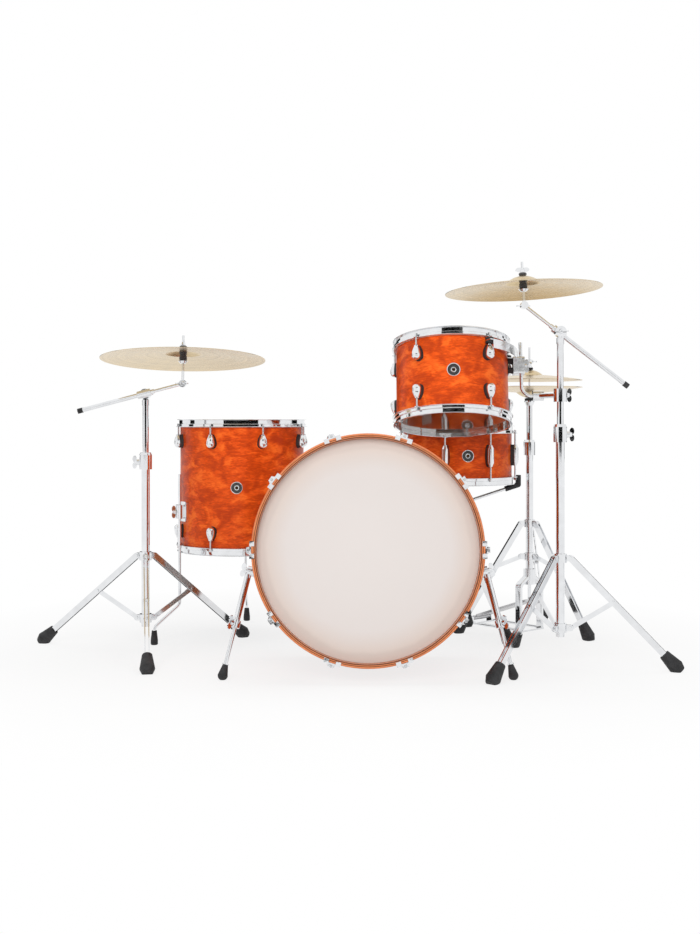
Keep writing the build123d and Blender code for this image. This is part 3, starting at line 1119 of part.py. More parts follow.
def strainer():
    """Strainer housing with its lever pin, and the butt plate opposite, in the snare's frame."""
    width, height, depth = STRAINER
    face = SNARE_RADIUS + SEAT_GAP
    body = Pos(SNARE_RADIUS - depth, 0, STRAINER_Z) * rounded_block(
        width, height, 2 * depth + SEAT_GAP, STRAINER_CORNER)
    half = LEVER_WIDTH / 2 + STRIP_GAP
    ear_align = (Align.MIN, Align.MIN, Align.CENTER)
    ear = Box(depth + 2 * LEVER_BARREL, width / 2 - half, 3 * LEVER_BARREL, align=ear_align)
    ear = Pos(face, half, LEVER_PIVOT_Z) * ear
    pin_from = (LEVER_PIVOT_X, -width / 2, LEVER_PIVOT_Z)
    pin_to = (LEVER_PIVOT_X, width / 2, LEVER_PIVOT_Z)
    body = body + ear + mirror(ear, about=Plane.XZ) - Cylinder(face, SNARE_DEPTH)
    body -= bar(pin_from, pin_to, LEVER_PIN + PIN_GAP)
    room_from = (LEVER_PIVOT_X, -half, LEVER_PIVOT_Z)
    room_to = (LEVER_PIVOT_X, half, LEVER_PIVOT_Z)
    body -= bar(room_from, room_to, LEVER_BARREL + SEAT_GAP)
    butt_width, butt_height, butt_depth = BUTT
    butt = Pos(SNARE_RADIUS - butt_depth, 0, BUTT_Z) * rounded_block(
        butt_width, butt_height, 2 * butt_depth, STRAINER_CORNER)
    butt -= Cylinder(face, SNARE_DEPTH)
    return [from_front(STRAINER_ANGLE) * body, from_front(STRAINER_ANGLE) * bar(pin_from, pin_to, LEVER_PIN),
            from_front(STRAINER_ANGLE + 180) * butt]


def throw_off_lever():
    """Lever that lies flat on the strainer and swings out about its lower pin."""
    half = LEVER_WIDTH / 2
    barrel = bar((LEVER_PIVOT_X, -half, LEVER_PIVOT_Z), (LEVER_PIVOT_X, half, LEVER_PIVOT_Z), LEVER_BARREL)
    inner = SNARE_RADIUS + SEAT_GAP + STRAINER[2] + SEAT_GAP
    face = Pos(0, LEVER_LENGTH / 2) * RectangleRounded(LEVER_WIDTH, LEVER_LENGTH, LEVER_WIDTH / 3)
    blade = extrude(Plane.YZ * face, amount=LEVER_THICK)
    blade = Pos(inner + LEVER_BARREL - LEVER_THICK, 0, LEVER_PIVOT_Z) * blade
    lever = barrel + blade
    lever -= bar((LEVER_PIVOT_X, -LEVER_WIDTH, LEVER_PIVOT_Z), (LEVER_PIVOT_X, LEVER_WIDTH, LEVER_PIVOT_Z),
                 LEVER_PIN + PIN_GAP)
    return from_front(STRAINER_ANGLE) * lever


def snare_wires():
    """Snare wires between their end plates, with a strap at each end, under the lower head."""
    top = -SNARE_DEPTH / 2 - SEAT_GAP - HEAD_FILM - SEAT_GAP
    wire_z = top - WIRE_RADIUS
    half = WIRE_LENGTH / 2
    plate_width, plate_length, plate_thick = WIRE_PLATE
    first = -WIRE_PITCH * (WIRE_COUNT - 1) / 2
    wires = [bar((-half, first + WIRE_PITCH * i, wire_z), (half, first + WIRE_PITCH * i, wire_z), WIRE_RADIUS)
             for i in range(WIRE_COUNT)]
    plate = Box(plate_length, plate_width, plate_thick, align=(Align.CENTER, Align.CENTER, Align.MAX))
    plate = Pos(half, 0, top) * plate
    strap_end = SNARE_RADIUS + ROD_OFFSET + STRAP_THICK
    strap_in = strap_end - STRAP_THICK
    strap_top = BUTT_Z - BUTT[1] / 2 - SEAT_GAP
    strap = outline(
        (half, top), (strap_in, top), (strap_in, strap_top), (strap_end, strap_top),
        (strap_end, top - STRAP_THICK), (half, top - STRAP_THICK))
    strap = extrude(Plane.XZ * strap, amount=STRAP_WIDTH / 2, both=True)
    end = plate + strap
    body = end + wires + mirror(end, about=Plane.YZ)
    return from_front(STRAINER_ANGLE) * body


def snare_gate():
    """Cut through the lower hoop's wall where a strap passes."""
    level = -SNARE_DEPTH / 2 - 2 * SEAT_GAP - HEAD_FILM
    gate = Pos(SNARE_RADIUS, 0, level) * Box(2 * ROD_OFFSET, GATE_WIDTH, GATE_HEIGHT)
    return from_front(STRAINER_ANGLE) * (gate + mirror(gate, about=Plane.YZ))


def snare_basket():
    """Basket that carries the snare: clevis, hub, three arms and rubber grips, in the stand's frame."""
    knuckle = BASKET_KNUCKLE
    cheek_in = KNUCKLE_HALF + STRIP_GAP
    cheek_out = cheek_in + CHEEK_THICK
    hub_low = BASKET_PIVOT_Z + knuckle + 2 * OVERRUN
    cheek = bar((cheek_in, 0, BASKET_PIVOT_Z), (cheek_out, 0, BASKET_PIVOT_Z), knuckle)
    riser_align = (Align.MIN, Align.CENTER, Align.MIN)
    riser = Box(CHEEK_THICK, 2 * knuckle, hub_low - BASKET_PIVOT_Z + OVERRUN, align=riser_align)
    cheek += Pos(cheek_in, 0, BASKET_PIVOT_Z) * riser
    hub = Pos(0, 0, hub_low) * Cylinder(BASKET_HUB_RADIUS, BASKET_HUB_HEIGHT, align=BASE)
    rim_z = SNARE_PLACE[2] - SNARE_DEPTH / 2 - HOOP_RISE
    rim_at = SNARE_RADIUS + HOOP_INNER + HOOP_SHEET + HOOP_LIP
    prong = rim_at + FLESH_WIDTH + GRIP_CLEAR + GRIP_RADIUS
    arm_from = Vector(BASKET_HUB_RADIUS / 2, 0, hub_low + BASKET_HUB_HEIGHT / 2)
    under_rim = Vector(rim_at, 0, rim_z - 1.05 * GRIP_RADIUS - SEAT_GAP)
    ray = (under_rim - arm_from).normalized()
    corner = arm_from + ray * ((prong - arm_from.X) / ray.X)
    arm_end = corner - ray * GRIP_RADIUS
    arm = bar(arm_from, arm_end, BASKET_ARM)
    grip = bar(corner - ray * GRIP_LENGTH, corner, GRIP_RADIUS) + Pos(*corner) * Sphere(GRIP_RADIUS)
    grip += bar(corner, corner + Vector(0, 0, GRIP_RISE), GRIP_RADIUS)
    grip -= bar(arm_from, arm_end + ray * PIN_GAP, BASKET_ARM + PIN_GAP)
    body = hub + cheek + mirror(cheek, about=Plane.YZ) + [from_front(a) * arm for a in BASKET_ANGLES]
    pin_reach = 2 * knuckle
    body -= bar((-pin_reach, 0, BASKET_PIVOT_Z), (pin_reach, 0, BASKET_PIVOT_Z), SPUR_BOLT_RADIUS + PIN_GAP)
    return [body] + [from_front(a) * grip for a in BASKET_ANGLES]


def snare_stand_top():
    """Upper tube of the snare stand with its knuckle and pin, in the stand's frame."""
    knuckle = BASKET_KNUCKLE
    tube = bar((0, 0, SNARE_CLAMP_Z - UPPER_OVERLAP), (0, 0, BASKET_PIVOT_Z - knuckle / 2), UPPER_TUBE)
    head = bar((-KNUCKLE_HALF, 0, BASKET_PIVOT_Z), (KNUCKLE_HALF, 0, BASKET_PIVOT_Z), knuckle)
    tube = tube + head
    reach = KNUCKLE_HALF + STRIP_GAP + CHEEK_THICK + STRIP_THICK
    tube -= bar((-reach, 0, BASKET_PIVOT_Z), (reach, 0, BASKET_PIVOT_Z), SPUR_BOLT_RADIUS + PIN_GAP)
    pin = bar((-reach, 0, BASKET_PIVOT_Z), (reach, 0, BASKET_PIVOT_Z), SPUR_BOLT_RADIUS)
    return [tube, pin]


# Assembly

def build_kit():
    """Every node of the kit by name, as lists of solids in the kit's frame."""
    nodes = {name: [BASS_FRAME * each for each in pieces] for name, pieces in bass_drum().items()}
    nodes["bass_spur_brackets"] = spur_bracket(-1) + spur_bracket(1)
    for name, side in (("left", -1), ("right", 1)):
        tube, rod, foot = spur_leg(side)
        nodes[f"{name}_spur_tube"] = tube
        nodes[f"{name}_spur_rod"] = rod
        nodes[f"{name}_spur_foot"] = foot

    angles = spread(FLOOR_TOM_LUGS)
    drum = flanged_drum(FLOOR_TOM_RADIUS, FLOOR_TOM_DEPTH, angles, FLOOR_TOM_VENT)
    drum["lugs"] = tom_lugs(FLOOR_TOM_RADIUS, FLOOR_TOM_DEPTH, angles)
    drum["leg_brackets"] = [each for a in LEG_ANGLES.values() for each in leg_bracket(a)]
    drum["tension_rods"] = drum.pop("rods")
    for name, pieces in drum.items():
        nodes[f"floor_tom_{name}"] = [FLOOR_TOM_FRAME * each for each in pieces]
    for name, angle in LEG_ANGLES.items():
        leg, foot = leg_and_foot(angle)
        nodes[f"floor_tom_leg_{name}"] = [FLOOR_TOM_FRAME * each for each in leg]
        nodes[f"floor_tom_foot_{name}"] = [FLOOR_TOM_FRAME * each for each in foot]

    angles = spread(RACK_TOM_LUGS)
    drum = flanged_drum(RACK_TOM_RADIUS, RACK_TOM_DEPTH, angles, RACK_TOM_VENT)
    heads = drum.pop("heads")
    drum["batter_head"] = heads[:2]
    drum["resonant_head"] = heads[2:]
    drum["lugs"] = tom_lugs(RACK_TOM_RADIUS, RACK_TOM_DEPTH, angles)
    drum["tension_rods"] = drum.pop("rods")
    drum["mount"] = tom_mount()
    for name, pieces in drum.items():
        nodes[f"rack_tom_{name}"] = [RACK_TOM_FRAME * each for each in pieces]
    nodes["tom_holder"] = tom_holder()

    angles = spread(SNARE_LUGS)
    drum = flanged_drum(SNARE_RADIUS, SNARE_DEPTH, angles, SNARE_VENT)
    drum["hoops"][1] -= snare_gate()
    drum["lugs"] = [from_front(a) * tube_lug(SNARE_RADIUS, SNARE_DEPTH, ROD_OFFSET) for a in angles]
    drum["tension_rods"] = drum.pop("rods")
    drum["strainer"] = strainer()
    drum["wires"] = [snare_wires()]
    for name, pieces in drum.items():
        nodes[f"snare_{name}"] = [SNARE_FRAME * each for each in pieces]
    nodes["throw_off_lever"] = [SNARE_FRAME * throw_off_lever()]
    nodes["snare_basket"] = [SNARE_STAND_FRAME * each for each in snare_basket()]

    boots = []
    stands = (
        ("left", LEFT_STAND_FRAME, LEFT_STAND, LEFT_STAND[4] - COLLAR_HEIGHT, LEFT_CLAMP_Z, 180),
        ("right", RIGHT_STAND_FRAME, RIGHT_STAND, RIGHT_STAND[4] - COLLAR_HEIGHT, RIGHT_CLAMP_Z, 0),
        ("hihat", HIHAT_FRAME, HIHAT_STAND, YOKE_HUB_Z, HIHAT_CLAMP_Z, 90),
        ("snare", SNARE_STAND_FRAME, SNARE_STAND, SNARE_STAND[4] - COLLAR_HEIGHT, SNARE_CLAMP_Z, 150))
    for name, frame, stand, low_end, clamp_z, turn in stands:
        nodes[f"{name}_stand_base"], feet = stand_base(frame, stand, low_end, clamp_z, turn)
        boots += feet
    nodes["hihat_stand_base"] += hihat_base()
    nodes["snare_stand_base"] += [SNARE_STAND_FRAME * each for each in snare_stand_top()]
    nodes["stand_feet"] = boots

    booms = (
        ("left", LEFT_BOOM_FRAME, LEFT_CLAMP_Z, LEFT_PIVOT_Z, LEFT_BOOM, LEFT_SEAT, LEFT_CYMBAL),
        ("right", RIGHT_BOOM_FRAME, RIGHT_CLAMP_Z, RIGHT_PIVOT_Z, RIGHT_BOOM, RIGHT_SEAT, RIGHT_CYMBAL))
    for name, frame, clamp_z, pivot_z, boom, seat, sizes in booms:
        nodes[f"{name}_upper_tube"] = boom_top(frame, clamp_z, pivot_z)
        nodes[f"{name}_boom_arm"] = boom_arm(frame, boom, seat)
        nodes[f"{name}_cymbal_felts"] = cymbal_felts(seat)
        nodes[f"{name}_cymbal"] = [placed_cymbal(sizes, seat)]

    low_hole, top_hole = hihat_heights()
    plate = cymbal(HIHAT_CYMBAL)
    nodes["hihat_bottom_cymbal"] = [HIHAT_FRAME * Pos(0, 0, low_hole) * mirror(plate, about=Plane.XY)]
    nodes["hihat_top_cymbal"] = [HIHAT_FRAME * Pos(0, 0, top_hole) * plate]
    nodes["hihat_pull_rod"] = hihat_pull()
    nodes["hihat_pedal"] = [hihat_board()]
    return nodes


def main():
    os.makedirs("parts", exist_ok=True)
    for name, pieces in build_kit().items():
        solids = [solid for piece in pieces for solid in piece.solids()]
        export_step(Compound(children=solids), f"parts/{name}.step")


if __name__ == "__main__":
    main()
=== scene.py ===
import math
from collections import namedtuple

import bmesh
import bpy
import numpy as np
from bpy.props import FloatProperty, FloatVectorProperty, PointerProperty
from mathutils import Matrix, Vector, noise


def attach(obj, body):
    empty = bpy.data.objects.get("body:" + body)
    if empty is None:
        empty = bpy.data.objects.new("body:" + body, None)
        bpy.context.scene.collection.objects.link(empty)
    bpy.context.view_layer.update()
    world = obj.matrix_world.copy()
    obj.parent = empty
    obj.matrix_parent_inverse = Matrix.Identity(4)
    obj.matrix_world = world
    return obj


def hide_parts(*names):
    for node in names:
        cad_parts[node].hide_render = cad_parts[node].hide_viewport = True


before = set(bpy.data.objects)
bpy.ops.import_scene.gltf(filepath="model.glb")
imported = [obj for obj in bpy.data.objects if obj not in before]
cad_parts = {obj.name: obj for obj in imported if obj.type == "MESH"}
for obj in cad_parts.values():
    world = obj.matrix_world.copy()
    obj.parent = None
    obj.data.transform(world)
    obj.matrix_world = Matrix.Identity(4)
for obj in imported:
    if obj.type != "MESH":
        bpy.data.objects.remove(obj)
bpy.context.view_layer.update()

bl_info = {
    "name": "Four-piece drum kit finishes",
    "version": (1, 0, 0),
    "blender": (4, 5, 0),
    "location": "View3D > Sidebar > Drum kit",
    "description": "Wood, film, metal, felt, badges and studio for a four-piece drum kit",
    "category": "Object",
}

# Places and sizes of the drums, in metres: lean is the turn about X that stands a drum up, lugs are their
# count and the angle of the first, lug_height is a row's distance from the middle, badge is the angle of
# the vent hole
Drum = namedtuple("Drum", "body centre lean radius lugs lug_height badge")
DRUMS = {
    "bass": Drum("kit_base", (0.0769, -0.32476, 0.33950), 84.0, 0.3048, (10, 18.0), 0.1123, None),
    "floor_tom": Drum("kit_base", (-0.3301, 0.2105, 0.501), 0.0, 0.2032, (8, 22.5), 0.1377, 0.0),
    "rack_tom": Drum("rack_tom", (0.3299, -0.2235, 0.823), -12.5, 0.1651, (5, 33.0), 0.0488, -3.0),
    "snare": Drum("snare", (0.3819, 0.1945, 0.601), 0.0, 0.1778, (8, -16.7), None, 5.8),
}

# Middle of each cymbal's hole and the direction of its post
Cymbal = namedtuple("Cymbal", "node hole post")
CYMBALS = {
    "left": Cymbal("left_cymbal", (-0.48918, -0.06377, 0.93489), (0.0, 0.09932, 0.99506)),
    "right": Cymbal("right_cymbal", (0.53214, -0.2795, 1.13566), (-0.04534, 0.03486, 0.99836)),
    "hat_bottom": Cymbal("hihat_bottom_cymbal", (0.6369, 0.3145, 0.791), (0.0, 0.0, 1.0)),
    "hat_top": Cymbal("hihat_top_cymbal", (0.6369, 0.3145, 0.885), (0.0, 0.0, 1.0)),
}
HIHAT_AXIS = (0.6369, 0.3145)
SNARE_AXIS = (0.3819, 0.1945)

# Middle of each boom's ratchet (x, z), its slope in degrees and the distance to the cap on its rear end
BOOMS = {
    "left_boom_arm": ((-0.6081, 0.796), 14.8, 0.19605),
    "right_boom_arm": ((0.6369, 0.971), 142.0, 0.24105),
}

CHROME_NODES = (
    "bass_spur_brackets", "floor_tom_hoops", "floor_tom_leg_brackets", "left_stand_base",
    "right_stand_base", "snare_stand_base", "left_spur_tube", "right_spur_tube", "left_spur_rod",
    "right_spur_rod", "floor_tom_leg_front", "floor_tom_leg_side", "floor_tom_leg_rear", "left_upper_tube",
    "right_upper_tube", "tom_holder", "rack_tom_hoops", "snare_hoops", "snare_strainer", "throw_off_lever")
RUBBER_NODES = (
    "stand_feet", "left_spur_foot", "right_spur_foot", "floor_tom_foot_front", "floor_tom_foot_side",
    "floor_tom_foot_rear")
ROD_NODES = ("bass_tension_rods", "floor_tom_tension_rods", "rack_tom_tension_rods", "snare_tension_rods")

# Rubber on plated nodes, by distance from the drum's or stand's axis and by height
BASKET_GRIP_REACH = 0.150
HIHAT_PAD_HEIGHT, HIHAT_PAD_RADIUS = (0.7801, 0.7903), 0.0165
CLUTCH_WASHER_HEIGHT, CLUTCH_WASHER_BORE = (0.8857, 0.8931), 0.0055

# Rubber on the rack tom's mount, in the tom's own frame
BUSH_X, BUSH_HALF_Y, BUSH_HEIGHT = (0.160, 0.18155), 0.011, (0.028, 0.080)
BUMPER_STAND_OFF, BUMPER_RADIUS, BUMPER_WAIST = 0.0136, 0.0123, 0.00685
BUMPER_HEIGHT, BUMPER_GROOVE = (0.0810, 0.0980), (0.08795, 0.09105)

# Skin of the wood that takes the stain, the bass hoops' inner and outer radius, and the reach from the shell
# of a lug's flank that is painted dark as shade and dark reflection
STAIN_DEPTH = 0.0016
HOOP_INNER, HOOP_OUTER = 0.3066, 0.3191
LUG_SHADE_REACH = 0.0125

# Half width, nose and tail of the pads under the tube lugs and the teardrop lugs
TUBE_PAD, TEARDROP_PAD = (0.0105, 0.034, 0.034), (0.0135, 0.0295, 0.0135)

# Felts on a cymbal's post: name, low and high end from the cymbal's hole, radius
FELTS = (
    ("low", -0.0380, -0.0202, 0.0120), ("mid", -0.0200, -0.0022, 0.0117), ("top", 0.0013, 0.0100, 0.0119))
FELT_BORE, FELT_CROWN, FELT_LUMP = 0.0045, 0.0007, 0.00022
SLEEVE_BORE, SLEEVE_RADIUS, SLEEVE_LOW, SLEEVE_HIGH = 0.0043, 0.0054, -0.0020, 0.0010

# Studio in metres; a card has its middle and half spread in degrees and the heights of its two edges
CAMERA_PLACE, CAMERA_SHIFT = (0.0271, -3.9355, 0.715), -0.0503
KEY_PLACE, FILL_PLACE, TOP_PLACE = (-0.9, -4.4, 2.2), (1.2, -4.4, 1.8), (0.0, 0.2, 3.6)
KEY_SIZE, FILL_SIZE, TOP_SIZE = (2.2, 2.2), (2.0, 2.4), (3.2, 2.4)
LAMP_AIM = (0.0, 0.0, 0.55)
FLOOR_RADIUS, FLOOR_DROP, SHADOW_NEAR, SHADOW_FAR = 40.0, 0.0003, 0.7, 1.5
CARD_DISTANCE = 6.5
CARDS = (
    (0, 32, 0.45, 1.0), (0, 22, 3.3, 3.8), (0, 22, 4.16, 4.9), (118, 9, 0.4, 2.0), (205, 22, 0.5, 2.2),
    (262, 6, 0.4, 2.0))

# The colour mix node lists its float and vector sockets first
MIX_FACTOR, MIX_FIRST, MIX_SECOND, MIX_RESULT = 0, 6, 7, 2


# Sizes and colours that a user may change

class KitColours(bpy.types.PropertyGroup):
    stain_deep: FloatVectorProperty(
        name="Deep stain", description="Darkest patches of the stained shells",
        subtype="COLOR", default=(0.500, 0.047, 0.005), min=0.0, max=1.0)
    stain_mid: FloatVectorProperty(
        name="Stain", description="Main colour of the stained shells",
        subtype="COLOR", default=(0.800, 0.089, 0.008), min=0.0, max=1.0)
    stain_bright: FloatVectorProperty(
        name="Bright stain", description="Bright figure in the stained shells",
        subtype="COLOR", default=(0.960, 0.166, 0.020), min=0.0, max=1.0)
    raw_maple: FloatVectorProperty(
        name="Raw maple", description="Unstained wood inside the shells",
        subtype="COLOR", default=(0.420, 0.210, 0.090), min=0.0, max=1.0)
    hoop_wood: FloatVectorProperty(
        name="Hoop wood", description="Bass drum hoops",
        subtype="COLOR", default=(0.720, 0.240, 0.096), min=0.0, max=1.0)
    film: FloatVectorProperty(
        name="Coated film", description="Coated drum heads",
        subtype="COLOR", default=(0.700, 0.652, 0.628), min=0.0, max=1.0)
    chrome: FloatVectorProperty(
        name="Chrome", description="Plated hoops, lugs and stands",
        subtype="COLOR", default=(0.800, 0.810, 0.825), min=0.0, max=1.0)
    bronze: FloatVectorProperty(
        name="Bronze", description="Lathed cymbals",
        subtype="COLOR", default=(0.700, 0.560, 0.350), min=0.0, max=1.0)
    rubber: FloatVectorProperty(
        name="Rubber", description="Feet, grips and gaskets",
        subtype="COLOR", default=(0.022, 0.022, 0.023), min=0.0, max=1.0)
    felt: FloatVectorProperty(
        name="Felt", description="Cymbal felts",
        subtype="COLOR", default=(0.060, 0.060, 0.064), min=0.0, max=1.0)


class KitSizes(bpy.types.PropertyGroup):
    """Sizes of the small pieces added round the frame."""

    badge_radius: FloatProperty(
        name="Badge radius", description="Round plate over each vent hole",
        unit="LENGTH", default=0.0195, min=0.010, max=0.025)
    gasket_border: FloatProperty(
        name="Gasket border", description="How far a lug's gasket shows round it",
        unit="LENGTH", default=0.0016, min=0.0002, max=0.003)
    gasket_thickness: FloatProperty(
        name="Gasket thickness", description="How far a gasket stands off the shell",
        unit="LENGTH", default=0.0010, min=0.0004, max=0.003)
    felt_edge: FloatProperty(
        name="Felt edge", description="Rounding of a felt's edges",
        unit="LENGTH", default=0.0018, min=0.0005, max=0.004)


class KitStudio(bpy.types.PropertyGroup):
    """Lamps and camera."""

    key: FloatProperty(
        name="Key lamp", description="Large soft lamp at the left", unit="POWER", default=98.0, min=0.0)
    fill: FloatProperty(
        name="Fill lamp", description="Large soft lamp at the right", unit="POWER", default=52.0, min=0.0)
    top: FloatProperty(
        name="Top lamp", description="Soft lamp above", unit="POWER", default=80.0, min=0.0)
    surround: FloatProperty(
        name="Surround", description="Even light from the room",
        subtype="FACTOR", default=0.20, min=0.0, max=1.0)
    lens: FloatProperty(
        name="Lens", description="Focal length on a 36 mm sensor",
        subtype="DISTANCE_CAMERA", default=48.2, min=1.0)


# Nodes of a material

class Finish:
    """One material in the making: nodes are added and joined, and end in its shader."""

    def __init__(self, name, sockets=()):
        self.material = bpy.data.materials.new(name)
        self.material.use_nodes = True
        self.tree = self.material.node_tree
        self.shader = self.tree.nodes["Principled BSDF"]
        self.set(sockets)

    def set(self, sockets):
        for name, value in dict(sockets).items():
            self.join(value, self.shader.inputs[name])

    def join(self, value, socket):
        if isinstance(value, bpy.types.NodeSocket):
            self.tree.links.new(value, socket)
        elif socket.type == "RGBA" and len(value) == 3:
            socket.default_value = (*value, 1.0)
        else:
            socket.default_value = value

    def add(self, kind, inputs=(), **settings):
        made = self.tree.nodes.new("ShaderNode" + kind)
        for name, value in settings.items():
            setattr(made, name, value)
        for name, value in dict(inputs).items():
            self.join(value, made.inputs[name])
        return made

    def maths(self, operation, *values):
        made = self.add("Math", operation=operation)
        for value, socket in zip(values, made.inputs):
            self.join(value, socket)
        return made.outputs[0]

    def points(self, centre=(0.0, 0.0, 0.0), turn=(0.0, 0.0, 0.0)):
        """Object coordinates, counted from a piece's own middle and turned with it."""
        source = self.add("TexCoord").outputs["Object"]
        inputs = {"Vector": source, "Location": centre, "Rotation": turn}
        return self.add("Mapping", inputs, vector_type="TEXTURE").outputs[0]

    def stretch(self, vector, scale):
        return self.add("Mapping", {"Vector": vector, "Scale": scale}).outputs[0]

    def split(self, vector):
        return self.add("SeparateXYZ", {"Vector": vector}).outputs

    def gather(self, x, y, z):
        return self.add("CombineXYZ", {"X": x, "Y": y, "Z": z}).outputs[0]

    def noise(self, vector, scale=1.0, detail=3.0, rough=0.5, twist=0.0):
        inputs = {"Vector": vector, "Scale": scale, "Detail": detail, "Roughness": rough, "Distortion": twist}
        return self.add("TexNoise", inputs).outputs[0]

    def blend(self, *pairs):
        """Weighted sum of (value, weight) pairs."""
        total = self.maths("MULTIPLY", *pairs[0])
        for value, weight in pairs[1:]:
            total = self.maths("MULTIPLY_ADD", value, weight, total)
        return total

    def between(self, value, low, high, first, last):
        inputs = {"Value": value, "From Min": low, "From Max": high, "To Min": first, "To Max": last}
        return self.add("MapRange", inputs).outputs[0]

    def ramp(self, value, stops, interpolation="LINEAR"):
        made = self.add("ValToRGB", {"Fac": value})
        made.color_ramp.interpolation = interpolation
        elements = made.color_ramp.elements
        while len(elements) < len(stops):
            elements.new(0.5)
        for element, (place, colour) in zip(elements, stops):
            element.position = place
            element.color = (*colour, 1.0)
        return made.outputs["Color"]

    def distance(self, x, y):
        """Distance from the axis that x and y are counted from."""
        square = self.maths("MULTIPLY", x, x)
        return self.maths("SQRT", self.maths("MULTIPLY_ADD", y, y, square))

    def mix(self, factor, first, second, way="MIX"):
        made = self.add("Mix", data_type="RGBA", blend_type=way)
        self.join(factor, made.inputs[MIX_FACTOR])
        self.join(first, made.inputs[MIX_FIRST])
        self.join(second, made.inputs[MIX_SECOND])
        return made.outputs[MIX_RESULT]

    def bump(self, height, strength, distance):
        inputs = {"Height": height, "Strength": strength, "Distance": distance}
        self.set({"Normal": self.add("Bump", inputs).outputs[0]})


def shade(colour, factor):
    """A colour made lighter or darker."""
    return tuple(min(1.0, part * factor) for part in colour)


# Finishes

def shell_points(finish, drum):
    """Way round a shell, height and distance from its axis, in metres."""
    local = finish.points(drum.centre, (math.radians(drum.lean), 0.0, 0.0))
    x, y, z = finish.split(local)
    facing = y if drum.badge is None else finish.maths("MULTIPLY", y, -1.0)
    way = finish.maths("MULTIPLY", finish.maths("ARCTAN2", x, facing), drum.radius)
    return way, z, finish.distance(x, y)


def stained_wood(name, drum, colours):
    """Satin stained maple on the outside of a shell, raw maple inside."""
    finish = Finish(name, {"Coat Weight": 0.07, "Coat Roughness": 0.16, "Specular IOR Level": 0.14})
    way, height, away = shell_points(finish, drum)
    veneer = finish.gather(way, height, 0.0)
    clouds = finish.noise(finish.stretch(veneer, (15.0, 24.0, 1.0)), detail=3.0, twist=0.9)
    curl = finish.noise(finish.stretch(veneer, (34.0, 130.0, 1.0)), detail=4.0, rough=0.6, twist=1.4)
    pores = finish.noise(finish.stretch(veneer, (85.0, 1300.0, 1.0)), detail=2.0)
    tone = finish.blend((clouds, 0.52), (curl, 0.30), (pores, 0.18))
    stain = finish.ramp(tone, [
        (0.41, colours.stain_deep), (0.47, shade(colours.stain_mid, 0.76)), (0.52, colours.stain_mid),
        (0.59, colours.stain_bright)])
    raw = finish.ramp(finish.blend((curl, 0.6), (pores, 0.4)), [
        (0.35, shade(colours.raw_maple, 0.62)), (0.65, shade(colours.raw_maple, 1.15))])
    inside = finish.maths("LESS_THAN", away, drum.radius - STAIN_DEPTH)
    finish.set({
        "Base Color": finish.mix(inside, stain, raw),
        "Roughness": finish.between(curl, 0.3, 0.7, 0.30, 0.44)})
    finish.bump(finish.blend((pores, 0.6), (curl, 0.4)), 0.10, 0.0004)
    return finish.material


def hoop_wood(colours):
    """Bass drum hoops: two pale plies with a dark line between them, a dark line at the inner edge of the
    face that is painted shade, and a painted highlight that grows towards the outer edge.
    """
    drum = DRUMS["bass"]
    finish = Finish("hoop_wood", {"Coat Weight": 0.12, "Coat Roughness": 0.12, "Specular IOR Level": 0.25})
    way, depth, away = shell_points(finish, drum)
    along = finish.stretch(finish.gather(way, depth, away), (24.0, 420.0, 420.0))
    grain = finish.noise(along, detail=3.0, twist=0.5)
    ply = finish.between(away, HOOP_INNER, HOOP_OUTER, 0.0, 1.0)
    base = colours.hoop_wood
    # Across the face: 0.06-0.22 is painted shade at the inner edge, 0.46-0.56 is the dark line between the
    # plies, and the rise to 1.06 towards the outer edge is a painted highlight
    rings = finish.ramp(ply, [
        (0.00, shade(base, 0.95)), (0.03, shade(base, 0.95)), (0.06, shade(base, 0.14)),
        (0.22, shade(base, 0.14)), (0.26, shade(base, 0.94)), (0.43, base), (0.46, shade(base, 0.12)),
        (0.56, shade(base, 0.12)), (0.59, base), (1.00, shade(base, 1.06))])
    dark = finish.ramp(grain, [(0.32, (0.52, 0.42, 0.36)), (0.62, (1.0, 1.0, 1.0))])
    finish.set({
        "Base Color": finish.mix(0.55, rings, dark, "MULTIPLY"),
        "Roughness": finish.between(grain, 0.3, 0.7, 0.24, 0.38)})
    finish.bump(grain, 0.08, 0.0004)
    return finish.material


def coated_film(name, drum, colours, edge_tan_and_shade):
    """Coated head: fine sprayed grain, warmer and darker towards the hoop; that edge is partly the film's tan
    and partly painted shade from the hoop.
    """
    finish = Finish(name, {"Specular IOR Level": 0.35})
    local = finish.points(drum.centre, (math.radians(drum.lean), 0.0, 0.0))
    x, y, _ = finish.split(local)
    away = finish.distance(x, y)
    grain = finish.noise(local, 900.0, detail=2.0, rough=0.7)
    haze = finish.noise(local, 7.0, detail=3.0)
    share = finish.maths("DIVIDE", away, drum.radius)
    tone = finish.blend((share, 1.0), (haze, 0.10), (grain, 0.03))
    film = colours.film
    # The last two stops darken and warm the film near the hoop: partly its tan edge, partly painted shade
    colour = finish.ramp(tone, [
        (0.20, film), (0.80, shade(film, 0.985)), (0.97, tuple(a * b for a, b in zip(film, edge_tan_and_shade))),
        (1.04, tuple(a * b * 0.92 for a, b in zip(film, edge_tan_and_shade)))])
    finish.set({"Base Color": colour, "Roughness": finish.between(grain, 0.3, 0.7, 0.50, 0.66)})
    finish.bump(grain, 0.12, 0.0003)
    return finish.material


def clear_film():
    """Clear head: a thin glossy film that shows what is behind it."""
    finish = Finish("clear_film", {
        "Transmission Weight": 1.0, "IOR": 1.36, "Base Color": (0.90, 0.90, 0.885)})
    haze = finish.noise(finish.points(), 12.0, detail=3.0)
    finish.set({"Roughness": finish.between(haze, 0.3, 0.7, 0.03, 0.07)})
    return finish.material


